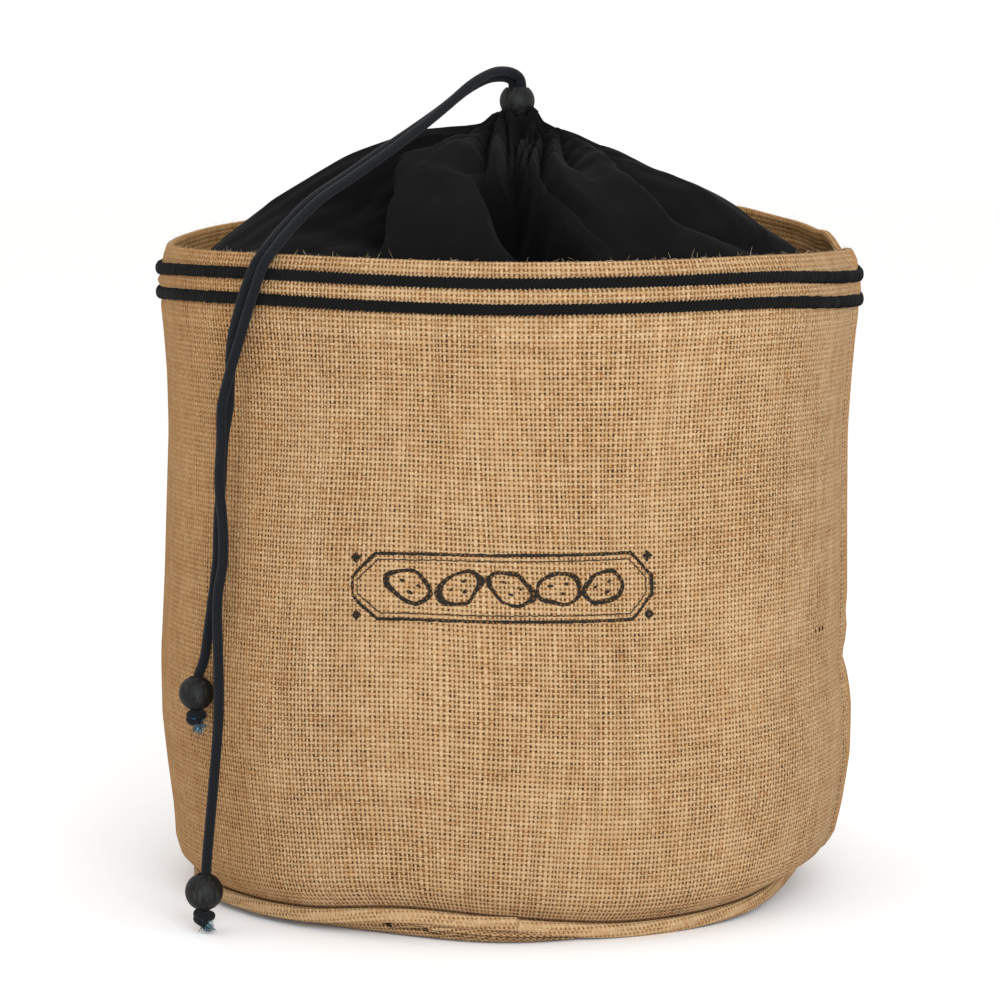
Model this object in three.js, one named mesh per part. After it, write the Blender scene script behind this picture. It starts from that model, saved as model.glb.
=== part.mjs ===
// Potato storage sack, in millimetres, +Z up.
// The origin is on the flat underside of the base, near its middle; -Y is the printed front.

import * as THREE from 'three';
import { mergeVertices } from 'three/addons/utils/BufferGeometryUtils.js';

// ---- driving sizes -------------------------------------------------------------------------

const AROUND = 54;              // stations round the sack
const GAP = 0.3;                // between two pieces that touch

const JUTE = 1.5;               // thickness of the hessian
const COTTON = 1.2;             // thickness of the closure's cotton
const HEM_DEPTH = 25;           // top hem, turned to the inside

const WELT_HEIGHT = 5.6;        // binding strip round the base seam
const WELT_THICK = 2.8;
const SEAM_TUCK = 4;            // how far the wall's lower edge goes down behind the strip
const CLOSURE_TUCK = 8;         // how far the closure's lower edge goes down below the hem
const SEAM_RADIUS = 127.6;      // outside of the binding strip, on average
const SEAM_SKEW = 2.4;          // how much further out it lies at the left than on average
const BASE_FLAT = 106;          // radius of the part of the base that touches the ground
const BASE_FLAT_FRONT = 10;     // how much further out it lies flat at the front left

const NECK_RADIUS = 12;         // where the closure's folds start and end
const RIM_RADIUS = 120;
const FRONT_RIM = 263;          // height of the rim for which the closure's heights are given
const FOLD_LENGTH = 46;

const TRIM_WIRE = 4.5;          // height of the two black cords round the top
const TRIM_DEPTH = 2.4;         // how far they stand out, pressed flat against the cloth
const TRIM_PITCH = 9.8;         // from one to the other
const TRIM_STANDOFF = 0.5;      // from the cords to the wall
const WIRE_SIDES = 8;

const STRING = 3.9;             // thickness of the drawstring
const STRING_PITCH = 4.6;       // from one end's middle line to the other's
const STRING_STEPS = 40;

const SLIDER = { x: 5, y: 0, z: 324.3, bead: 14.5 };
const SLIDER_BORE = 4.7;        // radii of the holes through the beads
const END_BORE = 2.5;
const BEAD_ROWS = 10;
const BEAD_SIDES = 20;

// ---- materials -----------------------------------------------------------------------------

const finish = (color, roughness) => new THREE.MeshStandardMaterial({ color, roughness, metalness: 0 });

const hessian = finish(0xc19a66, 0.95);
const cotton = finish(0x1b1a1b, 0.9);
const trimCord = finish(0x14161a, 0.85);
const stringCord = finish(0x181c24, 0.85);
const stainedWood = finish(0x1c1b1a, 0.55);

// ---- tables --------------------------------------------------------------------------------

// The sack is soft, so its rim and its base seam wander up and down round it.
// azimuth in degrees, 0 at +X and 270 at the front; rim and seam are heights above the ground,
// drop is from the rim to the middle of the upper trim cord.
const ROUND = [
  { azimuth: 0, rim: 265.8, drop: 11.5, seam: 13.2 },
  { azimuth: 30, rim: 276.0, drop: 11.0, seam: 10.5 },
  { azimuth: 60, rim: 281.6, drop: 10.5, seam: 8.5 },
  { azimuth: 90, rim: 280.0, drop: 10.2, seam: 7.5 },
  { azimuth: 120, rim: 279.0, drop: 10.2, seam: 7.8 },
  { azimuth: 150, rim: 273.5, drop: 10.4, seam: 8.2 },
  { azimuth: 180, rim: 266.8, drop: 10.2, seam: 8.6 },
  { azimuth: 208, rim: 264.6, drop: 8.2, seam: 8.4 },
  { azimuth: 232, rim: 263.4, drop: 7.7, seam: 8.8 },
  { azimuth: 252, rim: 262.0, drop: 8.0, seam: 12.5 },
  { azimuth: 270, rim: 261.0, drop: 8.0, seam: 9.8 },
  { azimuth: 292, rim: 261.4, drop: 7.8, seam: 6.0 },
  { azimuth: 315, rim: 262.8, drop: 8.3, seam: 7.2 },
  { azimuth: 335, rim: 263.4, drop: 10.0, seam: 10.9 },
];

// Outside of the wall, from the base seam (share 0) to the rim (share 1).
const WALL = [
  { share: 0.000, left: 128.6, right: 123.8 },
  { share: 0.012, left: 133.4, right: 131.0 },
  { share: 0.040, left: 137.0, right: 136.8 },
  { share: 0.095, left: 138.0, right: 140.2 },
  { share: 0.165, left: 140.6, right: 143.1 },
  { share: 0.245, left: 143.0, right: 143.4 },
  { share: 0.340, left: 143.4, right: 141.6 },
  { share: 0.470, left: 141.4, right: 141.3 },
  { share: 0.600, left: 139.8, right: 141.0 },
  { share: 0.710, left: 138.5, right: 140.8 },
  { share: 0.800, left: 138.9, right: 142.3 },
  { share: 0.865, left: 140.1, right: 143.8 },
  { share: 0.910, left: 141.4, right: 145.4 },
  { share: 0.940, left: 141.6, right: 145.6 },
  { share: 0.970, left: 141.5, right: 144.8 },
  { share: 1.000, left: 139.0, right: 140.2 },
];

// Outside of the closure, from its seam inside the rim up to the gathered neck. shift moves a ring
// to +X, lean lifts its left side, and follow is how much of the rim's rise it takes up.
const CLOSURE = [
  { radius: 129.0, height: 252.0, shift: 0.4, lean: 0.0, follow: 0.95 },
  { radius: 119.5, height: 262.0, shift: 0.6, lean: 1.0, follow: 0.75 },
  { radius: 106.0, height: 272.4, shift: 1.0, lean: 1.0, follow: 0.45 },
  { radius: 90.0, height: 283.0, shift: 1.6, lean: 1.6, follow: 0.20 },
  { radius: 74.0, height: 292.0, shift: 2.4, lean: 3.0, follow: 0.05 },
  { radius: 57.0, height: 300.5, shift: 3.2, lean: 4.0, follow: 0.0 },
  { radius: 41.0, height: 307.0, shift: 4.0, lean: 3.6, follow: 0.0 },
  { radius: 26.0, height: 310.8, shift: 4.6, lean: 1.6, follow: 0.0 },
  { radius: 15.5, height: 312.4, shift: 5.0, lean: 0.6, follow: 0.0 },
  { radius: 10.2, height: 315.0, shift: 5.0, lean: 0.2, follow: 0.0 },
  { radius: 8.4, height: 318.2, shift: 5.0, lean: 0.0, follow: 0.0 },
  { radius: 7.7, height: 320.4, shift: 5.0, lean: 0.0, follow: 0.0 },
];

// Main folds of the closure, running from the neck down to the seam. A ridge has a positive rise.
// inner and outer are its azimuths at the neck and at the rim, spread its half width in degrees,
// and peak is the radius at which it stands highest.
const FOLDS = [
  { inner: 200, outer: 196, rise: 4.0, spread: 17, peak: 60 },
  { inner: 226, outer: 238, rise: -9.0, spread: 8, peak: 84 },
  { inner: 242, outer: 249, rise: 5.5, spread: 7, peak: 80 },
  { inner: 258, outer: 260, rise: 3.5, spread: 9, peak: 66 },
  { inner: 272, outer: 277, rise: -12.0, spread: 12, peak: 66 },
  { inner: 292, outer: 296, rise: 3.0, spread: 6, peak: 58 },
  { inner: 306, outer: 308, rise: 6.0, spread: 8, peak: 72 },
  { inner: 322, outer: 330, rise: -7.0, spread: 9, peak: 92 },
  { inner: 350, outer: 350, rise: 3.0, spread: 14, peak: 88 },
  { inner: 20, outer: 26, rise: -7.0, spread: 11, peak: 76 },
  { inner: 48, outer: 54, rise: 4.0, spread: 12, peak: 80 },
  { inner: 76, outer: 80, rise: -9.0, spread: 10, peak: 72 },
  { inner: 104, outer: 104, rise: 4.0, spread: 12, peak: 84 },
  { inner: 132, outer: 128, rise: -8.0, spread: 11, peak: 76 },
  { inner: 158, outer: 160, rise: 3.0, spread: 12, peak: 66 },
];

// Where the two ends of the drawstring run together: up out of the neck through the slider bead,
// over in an arch, down along the closure, over the rim and down the front left of the wall. The
// short one lies on one side of this line and the long one on the other; twist turns the pair
// about it, from side by side at 0 to one above or behind the other at 90.
const ROUTE_SHARED = [
  { x: 5.0, y: 0.0, z: 305.0, twist: 0 },
  { x: 5.0, y: 0.0, z: 314.0, twist: 0 },
  { x: 5.0, y: 0.0, z: 323.0, twist: 0 },
  { x: 5.0, y: 0.0, z: 331.4, twist: 0 },
  { x: 3.0, y: -1.6, z: 334.8, twist: 16 },
  { x: -1.6, y: -5.6, z: 336.0, twist: 30 },
  { x: -7.0, y: -11.6, z: 334.6, twist: 34 },
  { x: -14.6, y: -20.0, z: 329.4, twist: 32 },
  { x: -24.6, y: -31.6, z: 320.8, twist: 24 },
  { x: -35.6, y: -43.8, z: 312.0, twist: 12 },
  { x: -48.6, y: -58.8, z: 302.2, twist: 0 },
  { x: -61.4, y: -73.6, z: 292.8, twist: 0 },
  { x: -74.0, y: -89.0, z: 283.6, twist: 0 },
  { x: -84.0, y: -101.6, z: 273.0, twist: 0 },
  { x: -89.5, y: -109.5, z: 265.9, twist: 0 },
  { x: -93.6, y: -113.5, z: 259.8, twist: 0 },
  { x: -96.6, y: -112.1, z: 252.6, twist: 0 },
  { x: -99.8, y: -109.1, z: 243.6, twist: 0 },
  { x: -104.0, y: -105.2, z: 229.0, twist: 4 },
  { x: -107.2, y: -101.0, z: 206.0, twist: 14 },
  { x: -110.6, y: -97.4, z: 179.0, twist: 26 },
];
const ROUTE_LONG = [
  { x: -112.6, y: -98.2, z: 152.0 },
  { x: -112.4, y: -99.6, z: 129.0 },
  { x: -113.0, y: -101.4, z: 103.0 },
  { x: -114.0, y: -103.0, z: 75.0 },
  { x: -115.2, y: -104.6, z: 50.0 },
  { x: -116.6, y: -106.3, z: 30.0 },
];
const ROUTE_SHORT = [
  { x: -113.4, y: -93.8, z: 152.0 },
  { x: -115.0, y: -92.8, z: 129.0 },
  { x: -118.4, y: -89.8, z: 109.0 },
];

// The end of each string: the middle and size of its bead, and the frayed tuft under its knot.
const ENDS = [
  { name: 'short', x: -121.2, y: -88.9, z: 91.2, bead: 13.8, tuft: 3.6 },
  { name: 'long', x: -117.2, y: -107.0, z: 15.9, bead: 14.3, tuft: 2.4 },
];

const KNOT = { width: 8.4, height: 4.3, tuftWidth: 6.4 };

// ---- helpers -------------------------------------------------------------------------------

const radians = (degrees) => degrees * Math.PI / 180;

// A smooth curve through one column of a table, by way of the rows either side.
function lookUp(rows, key, column, at, turn = 0) {
  const count = rows.length;
  const row = (i) => rows[turn ? (i + count) % count : Math.min(Math.max(i, 0), count - 1)];
  const place = (i) => row(i)[key] + (turn ? turn * Math.floor(i / count) : 0);
  let i = turn ? count - 1 : count - 2;
  while (i > 0 && place(i) > at) {
    i -= 1;
  }
  const t = Math.min(Math.max((at - place(i)) / (place(i + 1) - place(i)), 0), 1);
  const slope = (j) => (place(j + 1) === place(j - 1) ? 0
    : (row(j + 1)[column] - row(j - 1)[column]) / (place(j + 1) - place(j - 1)));
  const span = place(i + 1) - place(i);
  const [a, b] = [row(i)[column], row(i + 1)[column]];
  return a * (2 * t ** 3 - 3 * t ** 2 + 1) + b * (3 * t ** 2 - 2 * t ** 3)
    + span * (slope(i) * (t ** 3 - 2 * t ** 2 + t) + slope(i + 1) * (t ** 3 - t ** 2));
}

const rimAt = (azimuth) => lookUp(ROUND, 'azimuth', 'rim', azimuth, 360);
const seamAt = (azimuth) => lookUp(ROUND, 'azimuth', 'seam', azimuth, 360);
const trimAt = (azimuth) => rimAt(azimuth) - lookUp(ROUND, 'azimuth', 'drop', azimuth, 360);

const seamRadius = (azimuth) => SEAM_RADIUS - SEAM_SKEW * Math.cos(radians(azimuth));

// Outside radius of the wall at a share of its height.
function wallRadius(azimuth, share) {
  const left = lookUp(WALL, 'share', 'left', share);
  const right = lookUp(WALL, 'share', 'right', share);
  const slack = 4 * share * (1 - share);
  const wander = slack * (0.8 * Math.sin(radians(3 * azimuth + 200 * share))
    + 0.5 * Math.cos(radians(5 * azimuth - 300 * share)));
  return (left + right) / 2 + (right - left) / 2 * Math.cos(radians(azimuth)) + wander;
}

const wallShare = (azimuth, height) => (height - seamAt(azimuth)) / (rimAt(azimuth) - seamAt(azimuth));

// A section is a list of [radius, height]; this one moves each point to its left by a thickness.
function thicken(line, thickness) {
  return line.map(([r, z], i) => {
    const [r0, z0] = line[Math.max(i - 1, 0)];
    const [r1, z1] = line[Math.min(i + 1, line.length - 1)];
    const length = Math.hypot(r1 - r0, z1 - z0);
    return [r - thickness * (z1 - z0) / length, z + thickness * (r1 - r0) / length];
  });
}

function roundSection(diameter) {
  return Array.from({ length: WIRE_SIDES }, (_, i) => {
    const turn = 2 * Math.PI * (i + 0.5) / WIRE_SIDES;
    return [diameter / 2 * Math.cos(turn), diameter / 2 * Math.sin(turn)];
  });
}

function solid(name, positions, triangles, material) {
  const geometry = new THREE.BufferGeometry();
  geometry.setAttribute('position', new THREE.Float32BufferAttribute(positions, 3));
  geometry.setIndex(triangles);
  const mesh = new THREE.Mesh(geometry, material);
  mesh.name = name;
  return mesh;
}

// Carries a closed section once round the sack. sectionAt gives its [radius, height] points,
// anticlockwise as they are seen with the radius running to the right; shift moves them to +X.
function ringSolid(name, sectionAt, material, shiftAt = () => 0) {
  const positions = [];
  const triangles = [];
  let points = 0;
  for (let i = 0; i < AROUND; i += 1) {
    const azimuth = 360 * i / AROUND;
    const section = sectionAt(azimuth);
    points = section.length;
    section.forEach(([r, z], j) => {
      positions.push(shiftAt(j) + r * Math.cos(radians(azimuth)), r * Math.sin(radians(azimuth)), z);
    });
  }
  for (let i = 0; i < AROUND; i += 1) {
    for (let j = 0; j < points; j += 1) {
      const [a, b] = [i * points + j, i * points + (j + 1) % points];
      const next = ((i + 1) % AROUND) * points;
      const [c, d] = [next + j, next + (j + 1) % points];
      triangles.push(a, c, d, a, d, b);
    }
  }
  return solid(name, positions, triangles, material);
}

function merged(geometry) {
  geometry.deleteAttribute('normal');
  geometry.deleteAttribute('uv');
  return mergeVertices(geometry, 1e-4);
}

// ---- hessian pieces ------------------------------------------------------------------------

// The side panel: up the outside, over the rim, down the turned hem and back down the inside.
function wall() {
  const single = 2 + WALL.filter(({ share }) => share < 0.9).length;     // rows below the hem
  return ringSolid('wall', (azimuth) => {
    const [seam, rim] = [seamAt(azimuth), rimAt(azimuth)];
    const edge = seamRadius(azimuth) - WELT_THICK - GAP;
    const rise = rim - 1 - seam - GAP;
    const outside = [[edge, seam - SEAM_TUCK], [edge, seam - 2 * GAP],
      ...WALL.map(({ share }) => [wallRadius(azimuth, share), seam + GAP + rise * share])];
    const top = wallRadius(azimuth, 1);
    const roll = [[top - JUTE / 3, rim - JUTE / 5], [top - JUTE, rim],
      [top - 5 * JUTE / 3, rim - JUTE / 5]];
    const behind = (below, layers) => [
      wallRadius(azimuth, wallShare(azimuth, rim - below)) - layers * JUTE, rim - below];
    const hem = [behind(JUTE, 2), behind(HEM_DEPTH / 2, 2), behind(HEM_DEPTH, 2),
      behind(HEM_DEPTH + JUTE / 2, 1)];
    return [...outside, ...roll, ...hem, ...thicken(outside, JUTE).slice(0, single).reverse()];
  }, hessian);
}

// The base: flat where it touches the ground, and turned up a little to meet the seam.
function base() {
  const under = (azimuth) => {
    const edge = seamRadius(azimuth) - WELT_THICK - 2 * GAP - JUTE;
    const flat = BASE_FLAT - BASE_FLAT_FRONT * Math.sin(radians(azimuth + 25));
    const lift = Math.max(seamAt(azimuth) - 6, 1);
    return [0, 0.4, 0.75, 1].map((u) => [flat + (edge - flat) * u, lift * u ** 2.2]);
  };
  const positions = [0, 0, 0, 0, 0, JUTE];
  const triangles = [];
  let points = 0;
  for (let i = 0; i < AROUND; i += 1) {
    const azimuth = 360 * i / AROUND;
    const line = under(azimuth);
    const section = [...line, ...line.map(([r, z]) => [r, z + JUTE]).reverse()];
    points = section.length;
    section.forEach(([r, z]) => {
      positions.push(r * Math.cos(radians(azimuth)), r * Math.sin(radians(azimuth)), z);
    });
  }
  for (let i = 0; i < AROUND; i += 1) {
    const here = 2 + i * points;
    const next = 2 + ((i + 1) % AROUND) * points;
    triangles.push(0, next, here, 1, here + points - 1, next + points - 1);
    for (let j = 0; j < points - 1; j += 1) {
      triangles.push(here + j, next + j, next + j + 1, here + j, next + j + 1, here + j + 1);
    }
  }
  return solid('base', positions, triangles, hessian);
}

// The binding strip round the base seam: a flattened, rounded loop that hangs from the seam.
function baseWelt() {
  return ringSolid('base_welt', (azimuth) => {
    const top = seamAt(azimuth) - 0.2;
    const middle = seamRadius(azimuth) - WELT_THICK / 2;
    const upright = (y) => Math.sign(y) * Math.abs(y) ** 0.7;      // squarer than a circle
    return roundSection(2).map(([x, y]) => (
      [middle + WELT_THICK / 2 * x, top - WELT_HEIGHT / 2 * (1 - upright(y))]));
  }, hessian);
}

// ---- trim cords ----------------------------------------------------------------------------

function trim(name, below) {
  return ringSolid(name, (azimuth) => {
    const height = trimAt(azimuth) - below;
    const middle = wallRadius(azimuth, wallShare(azimuth, height)) + TRIM_STANDOFF + TRIM_DEPTH / 2;
    return roundSection(2).map(([x, y]) => [middle + TRIM_DEPTH / 2 * x, height + TRIM_WIRE / 2 * y]);
  }, trimCord);
}

// ---- closure -------------------------------------------------------------------------------

// How far the folds lift the closure at a radius. They start at the neck and die out at the rim.
function foldRise(azimuth, radius) {
  const { clamp, euclideanModulo, smoothstep } = THREE.MathUtils;
  const outward = clamp((radius - NECK_RADIUS) / (RIM_RADIUS - NECK_RADIUS), 0, 1);
  const ends = smoothstep(radius, NECK_RADIUS, 3 * NECK_RADIUS)
    * (1 - smoothstep(radius, RIM_RADIUS - 12, RIM_RADIUS + 10));
  return FOLDS.reduce((sum, { inner, outer, rise, spread, peak }) => {
    const middle = inner + (outer - inner) * outward;
    const off = euclideanModulo(azimuth - middle + 180, 360) - 180;
    const along = Math.exp(-(((radius - peak) / FOLD_LENGTH) ** 2));
    return sum + rise * ends * along * Math.exp(-((off / spread) ** 2));
  }, 0);
}

// Up from the seam inside the rim to the neck, and back down the inside.
function collar() {
  const tuck = [
    { below: HEM_DEPTH + CLOSURE_TUCK, inward: 0.5 },
    { below: HEM_DEPTH + 2.5, inward: 0.6 },
    { below: HEM_DEPTH - 4, inward: 5.2 },
  ];
  const shifts = [...tuck.map(() => 0), ...CLOSURE.map(({ shift }) => shift)];
  return ringSolid('collar', (azimuth) => {
    const rim = rimAt(azimuth);
    const side = Math.cos(radians(azimuth));
    const outside = [
      ...tuck.map(({ below, inward }) => (
        [wallRadius(azimuth, wallShare(azimuth, rim - below)) - JUTE - inward, rim - below])),
      ...CLOSURE.map(({ radius, height, lean, follow }) => (
        [radius, height - lean * side + follow * (rim - FRONT_RIM) + foldRise(azimuth, radius)])),
    ];
    return [...outside, ...thicken(outside, COTTON).reverse()];
  }, cotton, (j) => shifts[Math.min(j, 2 * shifts.length - 1 - j)]);
}

// ---- drawstring, beads and knots -----------------------------------------------------------

const point = ({ x, y, z }) => new THREE.Vector3(x, y, z);

const SIDEWAYS = new THREE.Vector3(0.74, -0.67, 0);    // level, and about square to the run

// An end's own route: beside the shared line, then apart, and straight down through its bead.
function stringRoute(end, own) {
  const side = end.name === 'short' ? -1 : 1;
  const shared = new THREE.CatmullRomCurve3(ROUTE_SHARED.map(point));
  const points = ROUTE_SHARED.map((row, i) => {
    const along = shared.getTangent(i / (ROUTE_SHARED.length - 1));
    const across = SIDEWAYS.clone().projectOnPlane(along).normalize()
      .applyAxisAngle(along, radians(row.twist));
    return point(row).addScaledVector(across, side * STRING_PITCH / 2);
  });
  const hang = [end.bead / 2 + 3, end.bead / 2 - 2, 0, 0.2 - end.bead / 2]
    .map((above) => point(end).setZ(end.z + above));
  return new THREE.CatmullRomCurve3([...points, ...own.map(point), ...hang]);
}

function string(end, own) {
  const outline = new THREE.Shape(roundSection(STRING).map(([x, y]) => new THREE.Vector2(x, y)));
  const tube = new THREE.ExtrudeGeometry(outline,
    { steps: STRING_STEPS, bevelEnabled: false, extrudePath: stringRoute(end, own) });
  const mesh = new THREE.Mesh(merged(tube), stringCord);
  mesh.name = `cord_${end.name}`;
  return mesh;
}

function bead(name, place, bore) {
  const half = place.bead / 2;
  const open = Math.asin(bore / half);
  const profile = Array.from({ length: BEAD_ROWS + 1 }, (_, i) => {
    const turn = open + (Math.PI - 2 * open) * i / BEAD_ROWS;
    return new THREE.Vector2(half * Math.sin(turn), -half * Math.cos(turn));
  });
  profile.push(profile[0].clone());
  const mesh = new THREE.Mesh(merged(new THREE.LatheGeometry(profile, BEAD_SIDES)), stainedWood);
  mesh.geometry.rotateX(Math.PI / 2);
  mesh.name = name;
  mesh.position.copy(point(place));
  return mesh;
}

// A tight overhand knot under the bead, and the frayed tip below it.
function knot(end) {
  const { width, height, tuftWidth } = KNOT;
  const tip = -height - end.tuft;
  const body = [[0, 0], [0.62, -0.02], [0.96, -0.3], [1, -0.6], [0.72, -0.95], [0.5, -1]]
    .map(([r, z]) => new THREE.Vector2(r * width / 2, z * height));
  const tuft = [[1, tip + 0.45 * end.tuft], [0.6, tip], [0, tip]]
    .map(([r, z]) => new THREE.Vector2(r * tuftWidth / 2, z));
  const profile = [...body, ...tuft].reverse();
  const mesh = new THREE.Mesh(merged(new THREE.LatheGeometry(profile, BEAD_SIDES)), stringCord);
  mesh.geometry.rotateX(Math.PI / 2);
  mesh.name = `knot_${end.name}`;
  mesh.position.set(end.x, end.y, end.z - end.bead / 2 - GAP);
  return mesh;
}

// ---- the sack ------------------------------------------------------------------------------

const sack = new THREE.Group();
sack.add(wall(), base(), baseWelt());
sack.add(trim('trim_upper', 0), trim('trim_lower', TRIM_PITCH));
sack.add(collar(), bead('slider_bead', SLIDER, SLIDER_BORE));
ENDS.forEach((end) => {
  sack.add(string(end, end.name === 'short' ? ROUTE_SHORT : ROUTE_LONG));
  sack.add(bead(`end_bead_${end.name}`, end, END_BORE), knot(end));
});

export default sack;
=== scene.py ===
# Looks of a round hessian storage sack whose black cotton closure is drawn shut by a beaded
# cord. Metres, +Z up, and -Y is the printed front.

import math
import random

import bmesh
import bpy
from mathutils import Matrix, Vector, noise
from mathutils.bvhtree import BVHTree


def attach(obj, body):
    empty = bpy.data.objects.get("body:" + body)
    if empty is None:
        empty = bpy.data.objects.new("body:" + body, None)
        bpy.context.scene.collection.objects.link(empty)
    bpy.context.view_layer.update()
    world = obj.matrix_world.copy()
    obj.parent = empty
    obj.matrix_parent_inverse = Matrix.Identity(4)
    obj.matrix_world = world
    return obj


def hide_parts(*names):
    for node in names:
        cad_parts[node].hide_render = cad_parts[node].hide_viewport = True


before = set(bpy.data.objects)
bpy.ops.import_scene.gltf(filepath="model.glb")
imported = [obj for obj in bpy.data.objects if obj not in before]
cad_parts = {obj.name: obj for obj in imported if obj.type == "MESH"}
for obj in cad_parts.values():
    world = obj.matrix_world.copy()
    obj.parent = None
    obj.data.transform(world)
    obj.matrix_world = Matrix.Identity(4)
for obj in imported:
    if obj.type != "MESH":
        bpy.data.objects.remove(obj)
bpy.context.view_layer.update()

MM = 0.001
DOUBLED = 0.01 * MM

# ---- camera ----------------------------------------------------------------------------------
# It stands 1.45 m in front of the sack's middle, a little below its neck, and looks slightly
# down.

CAMERA_PLACE = Vector((-2.07, -1450, 288)) * MM
CAMERA_LENS = 126
CAMERA_TILT = 0.0885

camera = bpy.data.objects.new("camera", bpy.data.cameras.new("camera"))
camera.data.lens = CAMERA_LENS
camera.location = CAMERA_PLACE
camera.rotation_euler = (math.pi / 2 - CAMERA_TILT, 0, 0)
bpy.context.scene.collection.objects.link(camera)
bpy.context.scene.camera = camera

# ---- drawstring ------------------------------------------------------------------------------
# One black braided polyester cord. Its two ends come up out of the gathered neck, pass through
# the slider bead, and fall together over the rim, the short one ending above the long one.

STRING_WIDTH = 4.0 * MM
STRING_PITCH = 4.6 * MM
STRING_SIDES = 16
STRING_STEP = 0.8 * MM

# Where the two ends run together, in millimetres, with how far the pair is turned about its
# line: from side by side at 0 degrees to one above or behind the other at 90.
ROUTE_SHARED = [
    (5.0, 0.0, 305.0, 0),
    (5.0, 0.0, 314.0, 0),
    (5.0, 0.0, 323.0, 0),
    (5.0, 0.0, 331.4, 0),
    (3.0, -1.6, 334.2, 16),
    (-1.6, -5.6, 335.1, 30),
    (-7.0, -11.6, 333.9, 34),
    (-14.6, -20.0, 329.4, 32),
    (-24.6, -31.6, 320.8, 24),
    (-35.6, -43.8, 312.0, 12),
    (-48.6, -58.8, 302.2, 0),
    (-61.4, -73.6, 292.8, 0),
    (-74.0, -89.0, 283.6, 0),
    (-84.0, -101.6, 273.0, 0),
    (-89.5, -109.5, 265.9, 0),
    (-93.6, -113.5, 259.8, 0),
    (-96.6, -112.1, 252.6, 0),
    (-99.8, -109.1, 243.6, 0),
    (-104.0, -105.2, 229.0, 12),
    (-106.6, -102.2, 215.0, 55),
    (-108.2, -100.2, 204.0, 80),
    (-109.4, -98.9, 192.0, 56),
    (-110.5, -97.8, 175.0, 52),
]
ROUTE_LONG = [
    (-109.4, -100.9, 158.0),
    (-109.5, -101.4, 144.0),
    (-111.8, -100.6, 128.0),
    (-111.3, -103.0, 103.0),
    (-111.2, -105.0, 86.0),
    (-112.3, -105.2, 70.0),
    (-114.1, -105.8, 50.0),
    (-115.9, -106.9, 30.0),
]
ROUTE_SHORT = [
    (-111.5, -96.9, 158.0),
    (-112.1, -96.4, 144.0),
    (-114.2, -94.6, 128.0),
    (-116.4, -92.0, 113.6),
    (-117.7, -90.6, 105.5),
]

# the way in which the pair lies side by side, and how finely a line is smoothed between points
SIDEWAYS = Vector((0.74, -0.67, 0))
SMOOTH_PARTS = 16


def between(a, b, c, d, t):
    """The place at a share of the way from b to c, on the smooth curve through a, b, c and d."""
    return (
        b
        + (c - a) * (t / 2)
        + (a * 2 - b * 5 + c * 4 - d) * (t * t / 2)
        + (b * 3 - a - c * 3 + d) * (t**3 / 2)
    )


def smooth(points, step, closed=False):
    """A smooth line through some points, as points one step apart."""
    count = len(points)
    dense = []
    for i in range(count if closed else count - 1):
        if closed:
            near = [points[(i + k) % count] for k in (-1, 0, 1, 2)]
        else:
            near = [points[min(max(i + k, 0), count - 1)] for k in (-1, 0, 1, 2)]
        dense += [between(*near, j / SMOOTH_PARTS) for j in range(SMOOTH_PARTS)]
    dense.append(points[0] if closed else points[-1])
    gaps = [(q - p).length for p, q in zip(dense, dense[1:])]
    steps = max(2, round(sum(gaps) / step))
    even, k, passed = [], 0, 0.0
    for i in range(steps if closed else steps + 1):
        along = sum(gaps) * i / steps
        while k < len(gaps) - 1 and passed + gaps[k] < along:
            passed += gaps[k]
            k += 1
        even.append(dense[k].lerp(dense[k + 1], min((along - passed) / gaps[k], 1)))
    return even


def length(points):
    """How long a line through points is."""
    return sum((q - p).length for p, q in zip(points, points[1:]))


def tube(name, points, width, sides, closed=False, swells=None):
    """A round tube along a line. Its UV map is in metres, along it and round it."""
    curve = bpy.data.curves.new(name, "CURVE")
    curve.dimensions = "3D"
    curve.bevel_depth = width / 2
    curve.bevel_resolution = sides // 2 - 2
    curve.use_fill_caps = not closed
    line = curve.splines.new("POLY")
    line.points.add(len(points) - 1)
    line.use_cyclic_u = closed
    for i, (spot, place) in enumerate(zip(line.points, points)):
        spot.co = (*place, 1)
        spot.radius = swells[i] if swells else 1.0
    maker = bpy.data.objects.new(name, curve)
    bpy.context.scene.collection.objects.link(maker)
    shape = bpy.context.evaluated_depsgraph_get()
    mesh = bpy.data.meshes.new_from_object(maker.evaluated_get(shape))
    bpy.data.objects.remove(maker)
    scale = (length([*points, points[0]] if closed else points), math.pi * width)
    for spot in mesh.uv_layers[0].data:
        spot.uv = (spot.uv[0] * scale[0], spot.uv[1] * scale[1])
    bm = bmesh.new()
    bm.from_mesh(mesh)
    bpy.data.meshes.remove(mesh)
    return finished(name, bm)


def finished(name, bm):
    """A new object for a bmesh, smooth and at the origin, with its doubled points merged."""
    bmesh.ops.remove_doubles(bm, verts=bm.verts, dist=DOUBLED)
    for face in bm.faces:
        face.smooth = True
    mesh = bpy.data.meshes.new(name)
    bm.to_mesh(mesh)
    bm.free()
    made = bpy.data.objects.new(name, mesh)
    bpy.context.scene.collection.objects.link(made)
    return made


def srgb(code):
    """The linear colour of a six-figure hex code."""
    parts = [int(code[i : i + 2], 16) / 255 for i in (0, 2, 4)]
    return (*(c / 12.92 if c <= 0.04045 else ((c + 0.055) / 1.055) ** 2.4 for c in parts), 1)


def feed(tree, node, inputs):
    """Sets a node's inputs, and links those that come from another node."""
    for place, value in inputs.items():
        if isinstance(value, bpy.types.NodeSocket):
            tree.links.new(value, node.inputs[place])
        else:
            node.inputs[place].default_value = value


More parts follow.
